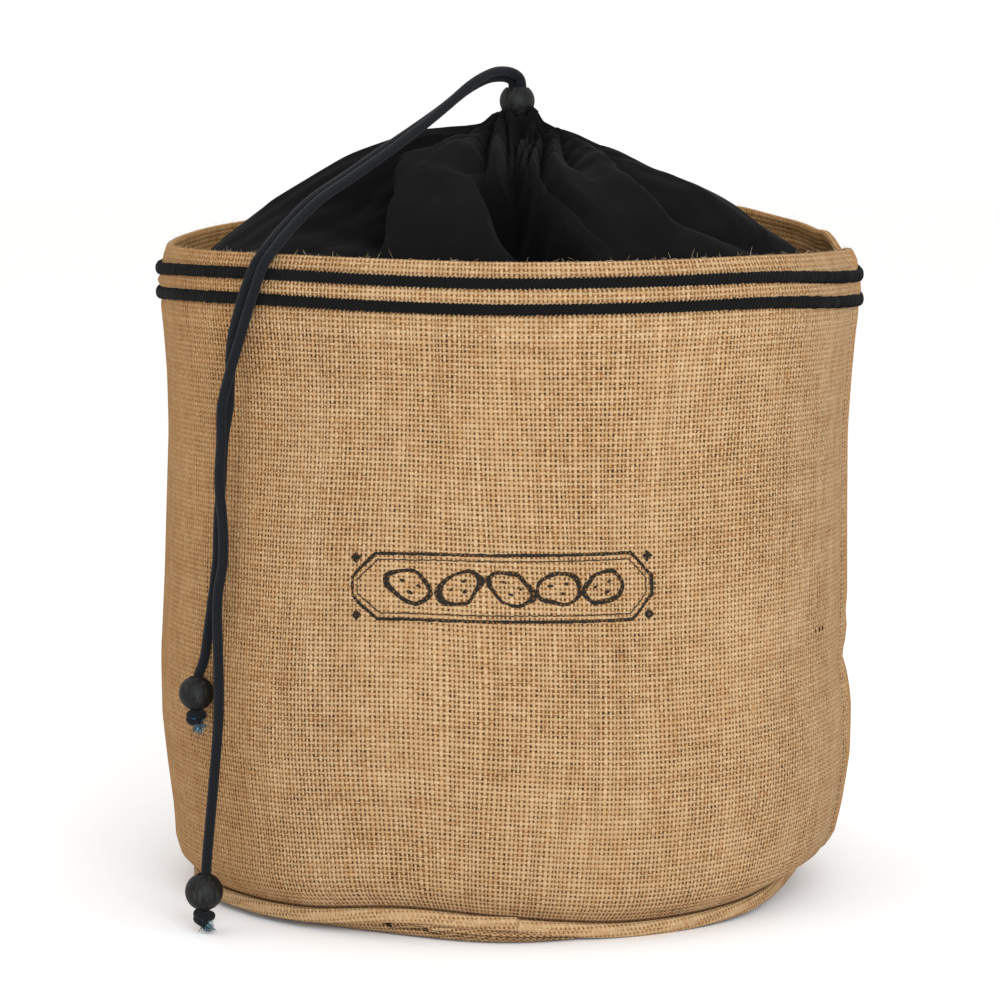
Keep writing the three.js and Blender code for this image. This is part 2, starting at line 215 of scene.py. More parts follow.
def add(tree, kind, inputs=(), out=0, stops=(), **settings):
    """Adds a shader node and gives one of its outputs, or the node itself where out is None.

    A kind may have its operation after it. Stops are the places and hex codes of a colour ramp.
    """
    kind, _, operation = kind.partition(" ")
    made = tree.nodes.new("ShaderNode" + kind)
    if operation:
        made.operation = operation
    for setting, value in settings.items():
        setattr(made, setting, value)
    for _ in stops[2:]:
        made.color_ramp.elements.new(0.5)
    for element, (place, code) in zip(made.color_ramp.elements if stops else (), stops):
        element.position = place
        element.color = srgb(code)
    feed(tree, made, inputs if isinstance(inputs, dict) else dict(enumerate(inputs)))
    return made if out is None else made.outputs[out]


def surface(name):
    """A new material and its node tree."""
    material = bpy.data.materials.new(name)
    material.use_nodes = True
    return material, material.node_tree


def coated(material, inputs):
    """The material, once its main shader has its inputs."""
    tree = material.node_tree
    feed(tree, tree.nodes["Principled BSDF"], inputs)
    return material


def plain_weave(tree, threads, width, wave):
    """The relief of a plain weave at a place counted in threads across and along it.

    Gives the height, 1 where the warp is on top, and the number of the warp and weft thread.
    """
    cell = add(tree, "VectorMath FLOOR", [threads])
    off = add(tree, "VectorMath FRACTION", [threads])
    off = add(tree, "VectorMath SUBTRACT", [off, (0.5, 0.5, 0)])
    off = add(tree, "VectorMath DIVIDE", [off, width])
    off = add(tree, "VectorMath MULTIPLY", [off, off])
    back = add(tree, "VectorMath MULTIPLY_ADD", [off, (-4, -4, 0), (1, 1, 0)])
    across, along, _ = add(tree, "SeparateXYZ", [threads], None).outputs
    swapped = add(tree, "CombineXYZ", [along, across])
    phase = add(tree, "VectorMath ADD", [swapped, cell])
    phase = add(tree, "VectorMath MULTIPLY", [phase, (math.pi,) * 3])
    phase = add(tree, "VectorMath SINE", [phase])
    rise = add(tree, "VectorMath MULTIPLY_ADD", [phase, (wave, -wave, 0), back])
    edge = add(tree, "VectorMath MULTIPLY", [back, (6, 6, 0)])
    rise = add(tree, "VectorMath MINIMUM", [rise, edge])
    warp, weft, _ = add(tree, "SeparateXYZ", [rise], None).outputs
    height = add(tree, "Math MAXIMUM", [warp, weft])
    over = add(tree, "Math GREATER_THAN", [warp, weft])
    return height, over, cell


def braided_polyester():
    """Spun polyester braid, dyed blue-black: matt, with fine crossing strands."""
    strands = 8
    lay = 13 * MM
    material, tree = surface("braided_polyester")
    place = add(tree, "UVMap")
    turn = strands / (math.pi * STRING_WIDTH)
    along, round_it, _ = add(tree, "SeparateXYZ", [place], None).outputs
    along = add(tree, "Math MULTIPLY", [along, strands / lay])
    round_it = add(tree, "Math MULTIPLY", [round_it, turn])
    left = add(tree, "Math ADD", [along, round_it])
    right = add(tree, "Math SUBTRACT", [along, round_it])
    crossing = add(tree, "CombineXYZ", [left, right])
    height, _, cell = plain_weave(tree, crossing, (0.96, 0.96, 1), 0.5)
    tone = add(tree, "TexNoise", {"Vector": cell, "Scale": 0.83, "Detail": 0.0})
    # painted shade: the braid's colour is darker low between its strands
    depth = add(tree, "MapRange", [height, -0.4, 1.4, 0.0, 0.8])
    depth = add(tree, "Math MULTIPLY_ADD", [tone, 0.4, depth])
    colour = add(tree, "ValToRGB", [depth], stops=[(0.0, "030304"), (0.5, "07080a"), (1.0, "0f1115")])
    bump = add(tree, "Bump", {"Strength": 0.7, "Distance": 0.25 * MM, "Height": height})
    sockets = {"Base Color": colour, "Normal": bump, "Roughness": 0.8, "Specular IOR Level": 0.12}
    return coated(material, {**sockets, "Sheen Weight": 0.05, "Sheen Roughness": 0.5})


string_cord = braided_polyester()

# Where each end goes on alone: its own route, the middle and width of its bead, and the side of
# the pair on which it lies.
STRINGS = {
    "short": (ROUTE_SHORT, Vector((-121.2, -88.9, 91.2)) * MM, 13.8 * MM, -1),
    "long": (ROUTE_LONG, Vector((-117.2, -107.0, 15.9)) * MM, 14.8 * MM, 1),
}


def string_points(own, bead, bead_width, side):
    """One end of the drawstring: beside the shared line, then apart, and down its bead."""
    shared = [Vector(row[:3]) * MM for row in ROUTE_SHARED]
    points = []
    for i, place in enumerate(shared):
        run = shared[min(i + 1, len(shared) - 1)] - shared[max(i - 1, 0)]
        across = (SIDEWAYS - SIDEWAYS.project(run)).normalized()
        turn = math.radians(ROUTE_SHARED[i][3])
        across = math.cos(turn) * across + math.sin(turn) * run.normalized().cross(across)
        points.append(place + across * side * STRING_PITCH / 2)
    points += [Vector(row) * MM for row in own]
    half = bead_width / 2
    for aside, above in ((0.9, half), (0.3, half - 3 * MM), (0, 0), (0, 0.2 * MM - half)):
        points.append(bead + Vector((aside * MM, 0, above)))
    return points


strings = {}
for end, (own, bead, bead_width, side) in STRINGS.items():
    line = smooth(string_points(own, bead, bead_width, side), STRING_STEP)
    string = tube(f"drawstring_{end}", line, STRING_WIDTH, STRING_SIDES)
    string.data.materials.append(string_cord)
    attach(string, "root")
    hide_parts(f"cord_{end}")
    strings[end] = (string, line)

# ---- beads -----------------------------------------------------------------------------------
# Turned beech balls, stained black and left satin, with a plain hole through the middle. One
# slides on both ends of the drawstring, and one hangs on each end.

SLIDER = Vector((5.0, 0.0, 324.3)) * MM
SLIDER_WIDTH = 14.5 * MM
SLIDER_BORE = 4.7 * MM
END_BORE = 2.5 * MM
BALL_SOFTENING = 0.35 * MM
BALL_STEPS = 32
BALL_SPOKES = 48


def stained_beech():
    """Black-stained beech: short pale flecks where the pores took less stain, satin."""
    material, tree = surface("stained_beech")
    place = add(tree, "TexCoord", out="Object")
    stretched = add(tree, "Mapping", {0: place, 3: (900, 900, 160)})
    grain = add(tree, "TexNoise", {"Vector": stretched, "Scale": 1.0, "Detail": 3.0})
    wide = add(tree, "TexNoise", {"Vector": place, "Scale": 180.0, "Detail": 2.0})
    tone = add(tree, "Math MULTIPLY_ADD", [wide, 0.5, grain])
    colour = add(tree, "ValToRGB", [tone], stops=[(0.6, "060605"), (0.8, "100f0d"), (0.92, "24221e")])
    rough = add(tree, "MapRange", [grain, 0, 1, 0.45, 0.75])
    bump = add(tree, "Bump", {"Strength": 0.6, "Distance": 0.2 * MM, "Height": grain})
    sockets = {"Base Color": colour, "Normal": bump, "Roughness": rough}
    return coated(material, {**sockets, "Specular IOR Level": 0.22})


def ball(name, middle, width, bore):
    """A ball with a bore and softened rims, spun from half its outline."""
    half = width / 2
    open_angle = math.asin(bore / half)
    rim = BALL_SOFTENING
    bm = bmesh.new()
    outline = []
    for i in range(BALL_STEPS + 1):
        turn = open_angle + (math.pi - 2 * open_angle) * i / BALL_STEPS
        outline.append((half * math.sin(turn), half * math.cos(turn)))
    top = outline[0][1]
    outline[0] = (outline[0][0] + 0.2 * rim, top - 0.1 * rim)
    outline[-1] = (outline[-1][0] + 0.2 * rim, 0.1 * rim - top)
    bore_line = [(bore - 0.1 * MM, top - rim), (bore - 0.1 * MM, rim - top)]
    ring = [(bore + 0.1 * MM, top), *outline, (bore + 0.1 * MM, -top), *reversed(bore_line)]
    verts = [bm.verts.new((r, 0, z)) for r, z in ring]
    edges = [bm.edges.new(pair) for pair in zip(verts, [*verts[1:], verts[0]])]
    axis = {"axis": (0, 0, 1), "cent": (0, 0, 0), "angle": 2 * math.pi}
    bmesh.ops.spin(bm, geom=verts + edges, steps=BALL_SPOKES, use_merge=True, **axis)
    bmesh.ops.recalc_face_normals(bm, faces=bm.faces)
    if bm.calc_volume(signed=True) < 0:
        bmesh.ops.reverse_faces(bm, faces=bm.faces)
    bmesh.ops.translate(bm, verts=bm.verts, vec=middle)
    made = finished(name, bm)
    made.data.materials.append(stained_wood)
    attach(made, "root")
    return made


stained_wood = stained_beech()
slider = ball("slider_ball", SLIDER, SLIDER_WIDTH, SLIDER_BORE)
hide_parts("slider_bead")
for end, (_, bead, bead_width, _) in STRINGS.items():
    ball(f"end_ball_{end}", bead, bead_width, END_BORE)
    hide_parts(f"end_bead_{end}")

# ---- knots -----------------------------------------------------------------------------------
# Each end is stopped under its bead by an overhand knot in the cord itself. The tip beyond it
# has frayed into the cord's blue-green inner filaments.

KNOT_COIL = 2.3 * MM
KNOT_DROP = 2.1 * MM
KNOT_POINTS = 15
KNOT_TURN = 32
FILAMENTS = 190
FILAMENT_WIDTH = 0.32 * MM

# for each end: the azimuth at which the knot starts, and how far its tail leans to +X
KNOT_LAY = {"short": (200, 0.15), "long": (160, 0.9)}


def filament():
    """Loose polyester filaments, some of the core's blue-green, some of the cover's black."""
    material, tree = surface("frayed_polyester")
    tone = add(tree, "Attribute", out="Fac", attribute_name="tone")
    stops = [(0.0, "10161d"), (0.35, "1d3d4b"), (0.7, "39788a"), (1.0, "7fb0b9")]
    colour = add(tree, "ValToRGB", [tone], stops=stops)
    return coated(material, {"Base Color": colour, "Roughness": 0.6, "Sheen Weight": 0.2})


frayed = filament()


def wisps(name, lines, width, tones, material):
    """Many thin three-sided fibres in one mesh, each along its own line and tapering off."""
    bm = bmesh.new()
    tone_layer = bm.verts.layers.float.new("tone")
    for line, tone in zip(lines, tones):
        rings = []
        for i, place in enumerate(line):
            run = (line[min(i + 1, len(line) - 1)] - line[max(i - 1, 0)]).normalized()
            side = run.orthogonal().normalized()
            other = run.cross(side)
            thin = width / 2 * (1 - 0.7 * i / (len(line) - 1))
            ring = []
            for k in range(3):
                turn = 2 * math.pi * k / 3
                spot = place + (side * math.cos(turn) + other * math.sin(turn)) * thin
                ring.append(bm.verts.new(spot))
                ring[-1][tone_layer] = tone
            rings.append(ring)
        for low, high in zip(rings, rings[1:]):
            for k in range(3):
                bm.faces.new((low[k], low[(k + 1) % 3], high[(k + 1) % 3], high[k]))
        bm.faces.new(reversed(rings[0]))
        bm.faces.new(rings[-1])
    made = finished(name, bm)
    made.data.materials.append(material)
    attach(made, "root")
    return made


def knot(end, bead, bead_width, heading, lean):
    """The wrapped turns of the knot, then its short tail and its frayed tip."""
    top = bead - Vector((0, 0, bead_width / 2 - 0.7 * MM + STRING_WIDTH / 2))
    points = []
    for i in range(KNOT_POINTS):
        turn = math.radians(heading + KNOT_TURN * i)
        reach = KNOT_COIL * (1 + 0.12 * math.sin(2.3 * i))
        drop = KNOT_DROP * (0.5 - 0.5 * math.cos(math.pi * i / (KNOT_POINTS - 1)))
        tilt = 0.55 * MM * math.sin(turn)
        points.append(top + Vector((reach * math.cos(turn), reach * math.sin(turn), tilt - drop)))
    for step in (0.8, 1.6):
        points.append(points[-1] + Vector((lean * step, -0.2 * step, -0.6 * step)) * MM)
    line = smooth(points, 0.5 * MM)
    made = tube(f"knot_turns_{end}", line, STRING_WIDTH * 0.95, STRING_SIDES)
    made.data.materials.append(string_cord)
    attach(made, "root")
    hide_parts(f"knot_{end}")
    return made, line[-1], (line[-1] - line[-4]).normalized()


random.seed(11)
for end, (_, bead, bead_width, _) in STRINGS.items():
    made, tip, run = knot(end, bead, bead_width, *KNOT_LAY[end])
    lines, tones = [], []
    for _ in range(FILAMENTS):
        spread = Vector([random.gauss(0, 1) for _ in range(3)])
        root = tip + spread * 0.9 * MM
        way = (run * 0.5 + spread * 0.45 + Vector((0, 0, -0.6))).normalized()
        reach = random.uniform(0.8, 2.4) * MM
        curl = Vector([random.gauss(0, 1) for _ in range(3)]) * 0.45 * MM
        line = [root + way * reach * t + curl * t * t for t in (0, 0.35, 0.7, 1)]
        lines.append([Vector((p.x, p.y, max(p.z, 1.0 * MM))) for p in line])
        tones.append(random.random() ** 1.8)
    tuft = wisps(f"frayed_tip_{end}", lines, FILAMENT_WIDTH, tones, frayed)

for end, (string, line) in strings.items():
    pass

# ---- side panel ------------------------------------------------------------------------------
# One strip of open plain-woven jute hessian, rolled to a tube and joined at the right. Its top
# edge is turned 25 mm to the inside and stitched down, and its bottom edge meets the base.

# the cloth's thickness as it is rolled, and the flat cut with its parts, from the foot up
JUTE = 1.5 * MM
PANEL_WIDTH = 885 * MM
PANEL_RISE = 254 * MM
HEM = 25 * MM
SEAM_TUCK = 4 * MM
JOIN_AZIMUTH = 347

# how far every second yarn stands out, the spacing of the yarns, and the rows of the mesh
RIB = 0.7 * MM
WARP_PITCH = 1.755 * MM
WEFT_PITCH = 1.955 * MM
PANEL_ROWS = 76
ROLL_ROWS = 6
HEM_ROWS = 8


def stations(name):
    """The corners of a CAD ring that runs round the sack, by their azimuth in degrees."""
    rings = {}
    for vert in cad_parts[name].data.vertices:
        azimuth = round(math.degrees(math.atan2(vert.co.y, vert.co.x)), 2) % 360
        rings.setdefault(azimuth, []).append(vert.co)
    return dict(sorted(rings.items()))


def round_curve(values):
    """A smooth function of azimuth through equally spaced values round the sack."""
    count = len(values)

    def at(azimuth):
        place = (azimuth % 360) / 360 * count
        i = int(place)
        return between(*(values[(i + k) % count] for k in (-1, 0, 1, 2)), place - i)

    return at


wall_rings = stations("wall")
rim_at = round_curve([max(p.z for p in ring) for ring in wall_rings.values()])
welt_rings = stations("base_welt")
seam_at = round_curve([max(p.z for p in ring) for ring in welt_rings.values()])
welt_reach = round_curve([sum(p.xy.length for p in ring) / len(ring) for ring in welt_rings.values()])
trim_middles = {}
trim_height = {}
for level in ("upper", "lower"):
    rings = stations(f"trim_{level}").values()
    trim_middles[level] = [sum(ring, Vector()) / len(ring) for ring in rings]
    trim_height[level] = round_curve([place.z for place in trim_middles[level]])
wall_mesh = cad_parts["wall"].data
wall_skin = BVHTree.FromPolygons(
    [v.co for v in wall_mesh.vertices], [list(p.vertices) for p in wall_mesh.polygons]
)


def bell(value, middle, half):
    """A smooth hump round a middle, for an azimuth."""
    off = (value - middle + 180) % 360 - 180
    return math.exp(-((off / half) ** 2))


def bearing(azimuth):
    """The level direction of an azimuth."""
    return Vector((math.cos(math.radians(azimuth)), math.sin(math.radians(azimuth)), 0))


def tucked(azimuth):
    """How far the seam at the foot is drawn in beyond its plain round, at the right."""
    return 3.6 * MM * bell(azimuth, 344, 15)


def seam_reach(azimuth):
    """How far out the seam at the foot runs."""
    return welt_reach(azimuth) - tucked(azimuth)


def reach_of(skin, azimuth, height):
    """How far out a CAD skin lies at an azimuth and height."""
    out = bearing(azimuth)
    hit = skin.ray_cast(out * 0.3 + Vector((0, 0, height)), -out)[0]
    return hit.xy.length


def wall_span(azimuth):
    """The lowest and the highest height of the wall's outer face."""
    return seam_at(azimuth) + 0.4 * MM, rim_at(azimuth) - 1.2 * MM


# the steps in which the wall is measured up it, and where its rim starts to wander
SHARES = 40
RIM_BAND = 0.955
share_reach = []
for j in range(SHARES + 1):
    share = j / SHARES
    values = []
    for azimuth in wall_rings:
        low, high = wall_span(azimuth)
        values.append(reach_of(wall_skin, azimuth + 0.01, low + (high - low) * share))
    share_reach.append(round_curve(values))


def pressings(azimuth):
    """Where the wall swells or is pressed in: its height, how far out in mm, and over how much."""
    upper, lower = trim_height["upper"](azimuth), trim_height["lower"](azimuth)
    dent = bell(azimuth, 357, 11)
    return (
        # pressed in under each trim, and swollen between the two
        (upper, -0.9, 2.2),
        (lower, -0.9, 2.2),
        ((upper + lower) / 2, 1.0, 2.6),
        # out at the rim's corner by the join, and three dents below it
        (263 * MM, 2.8 * bell(azimuth, 355, 9), 5.0),
        (114.5 * MM, -0.7 * dent, 4.5),
        (98.5 * MM, -2.4 * dent, 5.5),
        (93 * MM, -0.9 * dent, 9.0),
        # drawn in at the foot, and in below the rim behind the join
        (wall_span(azimuth)[0], -tucked(azimuth) / MM, 4.5),
        (264 * MM, -3.0 * bell(azimuth, 15, 9), 7.0),
    )


def rim_lift(azimuth):
    """How far the rim is above its plain line, in millimetres, by the join and behind it."""
    peaks = 1.8 * bell(azimuth, 43, 8) + 1.7 * bell(azimuth, 10.5, 4)
    return peaks - 2.6 * bell(azimuth, 3, 3.5) - bell(azimuth, 355, 9)


def panel_point(azimuth, share, inward=0.0):
    """A point of the panel's outer face, at a share of the way from the seam to the rim."""
    place = min(max(share, 0), 1) * SHARES
    j = min(int(place), SHARES - 1)
    t = place - j
    reach = share_reach[j](azimuth) * (1 - t) + share_reach[j + 1](azimuth) * t
    low, high = wall_span(azimuth)
    height = low + (high - low) * share
    for line, push, half in pressings(azimuth):
        reach += push * MM * math.exp(-(((height - line) / (half * MM)) ** 2))
    ridge = 0.7 * bell(azimuth, JOIN_AZIMUTH + 1, 1.5)
    groove = 1.1 * bell(azimuth, JOIN_AZIMUTH - 2.4, 1.1)
    reach += (ridge - groove) * MM
    height += rim_lift(azimuth) * MM * max(0.0, share - RIM_BAND) / (1 - RIM_BAND)
    spot = bearing(azimuth) * (reach - inward)
    spot.z = height
    return spot


def spots(tree, place, stretch, shift=0.0, detail=1.0, out=0, turn=0.0):
    """Soft random spots, so many to the unit across and along a flat place, and turned."""
    size = (1 / stretch[0], 1 / stretch[1], 1)
    inputs = {0: place, 1: (shift, shift, 0), 2: (0, 0, turn), 3: size}
    drawn = add(tree, "Mapping", inputs, vector_type="TEXTURE")
    inputs = {"Vector": drawn, "Scale": 1.0, "Detail": detail}
    return add(tree, "TexNoise", inputs, out=out, noise_dimensions="2D")


# for the warp and the weft: a thin and a thick yarn's share of the pitch, and how much more of it
# they fill inside the hem
YARN_WIDTHS = ((0.55, 0.79, -0.06), (0.41, 0.75, 0.17))

# from painted shade low between the yarns to their crowns
PALE_JUTE = [(0.0, "4e2f16"), (0.22, "734f2e"), (0.5, "95734e"), (0.8, "b1936e"), (1.0, "c6ad8b")]
WARM_JUTE = [(0.0, "47270f"), (0.22, "704723"), (0.5, "926a42"), (0.8, "ab865e"), (1.0, "bb9973")]


def hessian(name, gap_shade, marks=None, crowded=0.0, doubled=None):
    """Jute hessian: single twisted yarns, thick and thin, in an open plain weave.

    It is matt and straw-brown, with painted shade low between the yarns, and its gaps are painted
    brown to black as the shade inside, or close up where the cloth is crowded. From the height up it
    that is given, a second layer behind it shows in the gaps, painted in shade. The UV map is in metres.
    """
    material, tree = surface(name)
    cloth = add(tree, "UVMap")
    pitch = (1 / WARP_PITCH, 1 / WEFT_PITCH, 1)
    threads = add(tree, "Mapping", {0: cloth, 3: pitch})

    if doubled:
        turned_in = doubled + HEM + math.pi * JUTE / 2
        up = add(tree, "SeparateXYZ", [cloth], 1)
        inside = add(tree, "MapRange", [up, turned_in, turned_in + 1 * MM])

    # each yarn has its own width and tone, which change along it
    cell = add(tree, "VectorMath FLOOR", [threads])
    yarns = []
    for across, along, shift in ((0, 1, 0.0), (1, 0, 57.3)):
        own = add(tree, "Math MULTIPLY_ADD", [add(tree, "SeparateXYZ", [cell], across), 3.71, shift])
        run = add(tree, "Math MULTIPLY", [add(tree, "SeparateXYZ", [threads], along), 0.16])
        line = add(tree, "CombineXYZ", [own, run])
        yarns.append(spots(tree, line, (1, 1), detail=2.0, out=1))
    crowd = spots(tree, threads, (0.05, 0.03), 5.0, detail=2.0)
    spread = add(tree, "MapRange", [crowd, 0.3, 0.7, 0.08, -0.06])
    widths = []
    for yarn, (thin, wide, closed) in zip(yarns, YARN_WIDTHS):
        thick = add(tree, "SeparateXYZ", [yarn], 0)
        thick = add(tree, "MapRange", [thick, 0.3, 0.7, thin + crowded, wide + crowded])
        thick = add(tree, "Math ADD", [thick, spread])
        if doubled:
            thick = add(tree, "Math MULTIPLY_ADD", [inside, closed, thick])
        widths.append(thick)
    width = add(tree, "CombineXYZ", [*widths, 1.0])
    height, over, _ = plain_weave(tree, threads, width, 0.7)

    # fibres along each yarn, its tone, and long streaks in the cloth
    upright = spots(tree, threads, (0.9, 6), turn=-0.5)
    level = spots(tree, threads, (6, 0.9), turn=-0.5)
    fibre = add(tree, "Mix", {0: over, 2: upright, 3: level})
    tone = add(tree, "Mix", {0: over, 4: yarns[1], 5: yarns[0]}, 1, data_type="VECTOR")
    _, bright, golden = add(tree, "SeparateXYZ", [tone], None).outputs
    upright = spots(tree, threads, (0.3, 0.012), 11.0)
    level = spots(tree, threads, (0.012, 0.3), 77.0)
    streak = add(tree, "Math ADD", [upright, level])
    # painted shade: the lower a yarn lies, the darker its colour
    depth = add(tree, "MapRange", [height, -0.1, 1.0, 0.0, 0.5])
    for extra, share in ((bright, 0.3), (fibre, 0.34), (streak, 0.12)):
        depth = add(tree, "Math MULTIPLY_ADD", [extra, share, depth])
    depth = add(tree, "Math SUBTRACT", [depth, 0.235])
    gold = add(tree, "MapRange", [golden, 0.48, 0.76])
    pale, warm = (add(tree, "ValToRGB", [depth], stops=stops) for stops in (PALE_JUTE, WARM_JUTE))
    colour = add(tree, "Mix", {0: gold, 6: pale, 7: warm}, 2, data_type="RGBA")
    if marks:
        colour = marks(tree, cloth, colour, height)
    # the gaps are painted in shade, brown to black, for the dark inside seen through them, and from the
    # hem up a shaded brown for the second layer behind
    dim = spots(tree, threads, (0.6, 0.6), 31.0, detail=2.0)
    behind = add(tree, "ValToRGB", [dim], stops=[(0.34, gap_shade), (0.52, "6e4623")])
    if doubled:
        backed = add(tree, "MapRange", [up, doubled - 1 * MM, doubled])
        second = add(tree, "ValToRGB", [dim], stops=[(0.3, "5a3717"), (0.6, "7d5530")])
        behind = add(tree, "Mix", {0: backed, 6: behind, 7: second}, 2, data_type="RGBA")
        laid = {0: inside, 6: colour, 7: srgb("fffaee")}
        colour = add(tree, "Mix", laid, 2, data_type="RGBA", blend_type="MULTIPLY")
    yarn_there = add(tree, "MapRange", [height, -0.05, 0.1])
    colour = add(tree, "Mix", {0: yarn_there, 6: behind, 7: colour}, 2, data_type="RGBA")
    relief = add(tree, "Math MAXIMUM", [height, -0.6])
    relief = add(tree, "Math MULTIPLY_ADD", [fibre, 0.4, relief])
    bump = add(tree, "Bump", {"Strength": 0.8, "Distance": 0.3 * MM, "Height": relief})
    sockets = {"Base Color": colour, "Normal": bump, "Roughness": 0.95}
    return coated(material, {**sockets, "Specular IOR Level": 0.1})


# the print's place, tilt in radians, half-size and line in millimetres, and the potatoes' spacing
PRINT_AZIMUTH = 269.9
PRINT_RISE = 0.1305
PRINT_TURN = -0.034
PRINT_SIZE = (59.0, 13.4)
PRINT_LINE = 1.35
POTATO_PITCH = 18.6


def from_join(azimuth):
    """How far across the flat panel an azimuth lies."""
    return (azimuth - JOIN_AZIMUTH) % 360 / 360 * PANEL_WIDTH


# three dark fibres caught in the weave at the lower right, across and up the flat panel
SNAGS = [(from_join(332) + aside * MM, 108 * MM, 0) for aside in (-4.0, 0.1, 3.9)]


def inked(tree, distance, line):
    """1 on a line of a given width round where a distance in millimetres is nought."""
    off = add(tree, "Math ABSOLUTE", [distance])
    return add(tree, "MapRange", [off, line / 2 + 0.15, line / 2 - 0.15])


def printed(tree, cloth, colour, height):
    """The front's charcoal print: a plaque with cut corners and a row of potatoes in it."""
    middle = (from_join(PRINT_AZIMUTH), SEAM_TUCK + PRINT_RISE, 0)
    place = add(tree, "VectorMath SUBTRACT", [cloth, middle])
    place = add(tree, "VectorMath SCALE", {0: place, "Scale": 1 / MM})
    place = add(tree, "VectorRotate", {0: place, 3: PRINT_TURN}, rotation_type="Z_AXIS")
    blur = spots(tree, place, (0.6, 0.6), detail=2.0, out=1)
    blur = add(tree, "VectorMath SUBTRACT", [blur, (0.5, 0.5, 0.5)])
    place = add(tree, "VectorMath MULTIPLY_ADD", [blur, (0.8, 0.8, 0), place])
    side = add(tree, "VectorMath ABSOLUTE", [place])
    x, y, _ = add(tree, "SeparateXYZ", [side], None).outputs
    wide, high = PRINT_SIZE

    # the plaque's edge, and a fine line inside it
    slope = add(tree, "Math ADD", [x, y])
    cut = add(tree, "Math ADD", [slope, -(wide + high - 9.5)])
    cut = add(tree, "Math MULTIPLY", [cut, 0.707])
    past_end = add(tree, "Math ADD", [x, -wide])
    past_top = add(tree, "Math ADD", [y, -high])
    edge = add(tree, "Math MAXIMUM", [past_end, past_top])
    edge = add(tree, "Math MAXIMUM", [edge, cut])
    ink = inked(tree, add(tree, "Math ADD", [edge, 0.7]), PRINT_LINE)
    inner = inked(tree, add(tree, "Math ADD", [edge, 3.0]), 0.55)

    # a small lozenge off each cut corner
    off = add(tree, "VectorMath SUBTRACT", [side, (wide - 2.3, high - 2.3, 0)])
    off = add(tree, "VectorMath ABSOLUTE", [off])
    aside, above, _ = add(tree, "SeparateXYZ", [off], None).outputs
    lozenge = add(tree, "Math ADD", [aside, above])
    lozenge = add(tree, "MapRange", [lozenge, 2.5, 2.1])

    # five potatoes, each leaning its own way, with three eyes
    number = add(tree, "SeparateXYZ", [place], 0)
    number = add(tree, "Math MULTIPLY_ADD", [number, 1 / POTATO_PITCH, 0.5])
    number = add(tree, "Math FLOOR", [number])
    middles = add(tree, "Math MULTIPLY", [number, POTATO_PITCH])
    middles = add(tree, "CombineXYZ", [middles])
    spot = add(tree, "VectorMath SUBTRACT", [place, middles])
    lean = add(tree, "Math MULTIPLY_ADD", [number, 2.4, 0.9])
    lean = add(tree, "Math SINE", [lean])
    lean = add(tree, "Math MULTIPLY", [lean, 0.55])
    spot = add(tree, "VectorRotate", {0: spot, 3: lean}, rotation_type="Z_AXIS")
    lumpy = add(tree, "VectorMath SCALE", {0: place, "Scale": 0.13})
    lumpy = add(tree, "TexNoise", {"Vector": lumpy, "Scale": 1.0, "Detail": 0.0})
    squeezed = add(tree, "VectorMath DIVIDE", [spot, (8.4, 5.9, 1e9)])
    radius = add(tree, "VectorMath LENGTH", [squeezed], out=1)
    radius = add(tree, "Math MULTIPLY_ADD", [lumpy, -0.5, radius])
    rind = add(tree, "Math ADD", [radius, -0.73])
    rind = add(tree, "Math MULTIPLY", [rind, 6.6])
    potato = inked(tree, rind, 1.75)
    for eye in ((-3.1, 1.3, 0), (0.9, -2.0, 0), (3.0, 1.5, 0)):
        gap = add(tree, "VectorMath SUBTRACT", [spot, eye])
        gap = add(tree, "VectorMath MULTIPLY", [gap, (0.7, 1.3, 1)])
        gap = add(tree, "VectorMath LENGTH", [gap], out=1)
        potato = add(tree, "Math MAXIMUM", [potato, add(tree, "MapRange", [gap, 0.95, 0.65])])
    row = add(tree, "Math LESS_THAN", [x, 2.5 * POTATO_PITCH])
    potato = add(tree, "Math MULTIPLY", [potato, row])
    low = add(tree, "Math LESS_THAN", [y, high + 2])
    potato = add(tree, "Math MULTIPLY", [potato, low])
    for extra in (inner, lozenge, potato):
        ink = add(tree, "Math MAXIMUM", [ink, extra])

    # thinner where a yarn dips
    soaked = add(tree, "MapRange", [height, 0.0, 0.4, 0.7, 0.98])
    ink = add(tree, "Math MULTIPLY", [ink, soaked])
    return add(tree, "Mix", {0: ink, 6: colour, 7: srgb("161817")}, 2, data_type="RGBA")


def dashes(tree, cloth, along, place, width, pitch):
    """1 on a row of stitches that runs along one side of the cloth, in metres."""
    off = add(tree, "Math SUBTRACT", [add(tree, "SeparateXYZ", [cloth], 1 - along), place])
    row = inked(tree, add(tree, "Math MULTIPLY", [off, 1 / MM]), width)
    step = add(tree, "Math MULTIPLY", [add(tree, "SeparateXYZ", [cloth], along), 1 / pitch])
    step = add(tree, "Math FRACT", [step])
    stitch = add(tree, "Math LESS_THAN", [step, 0.62])
    return add(tree, "Math MULTIPLY", [row, stitch])


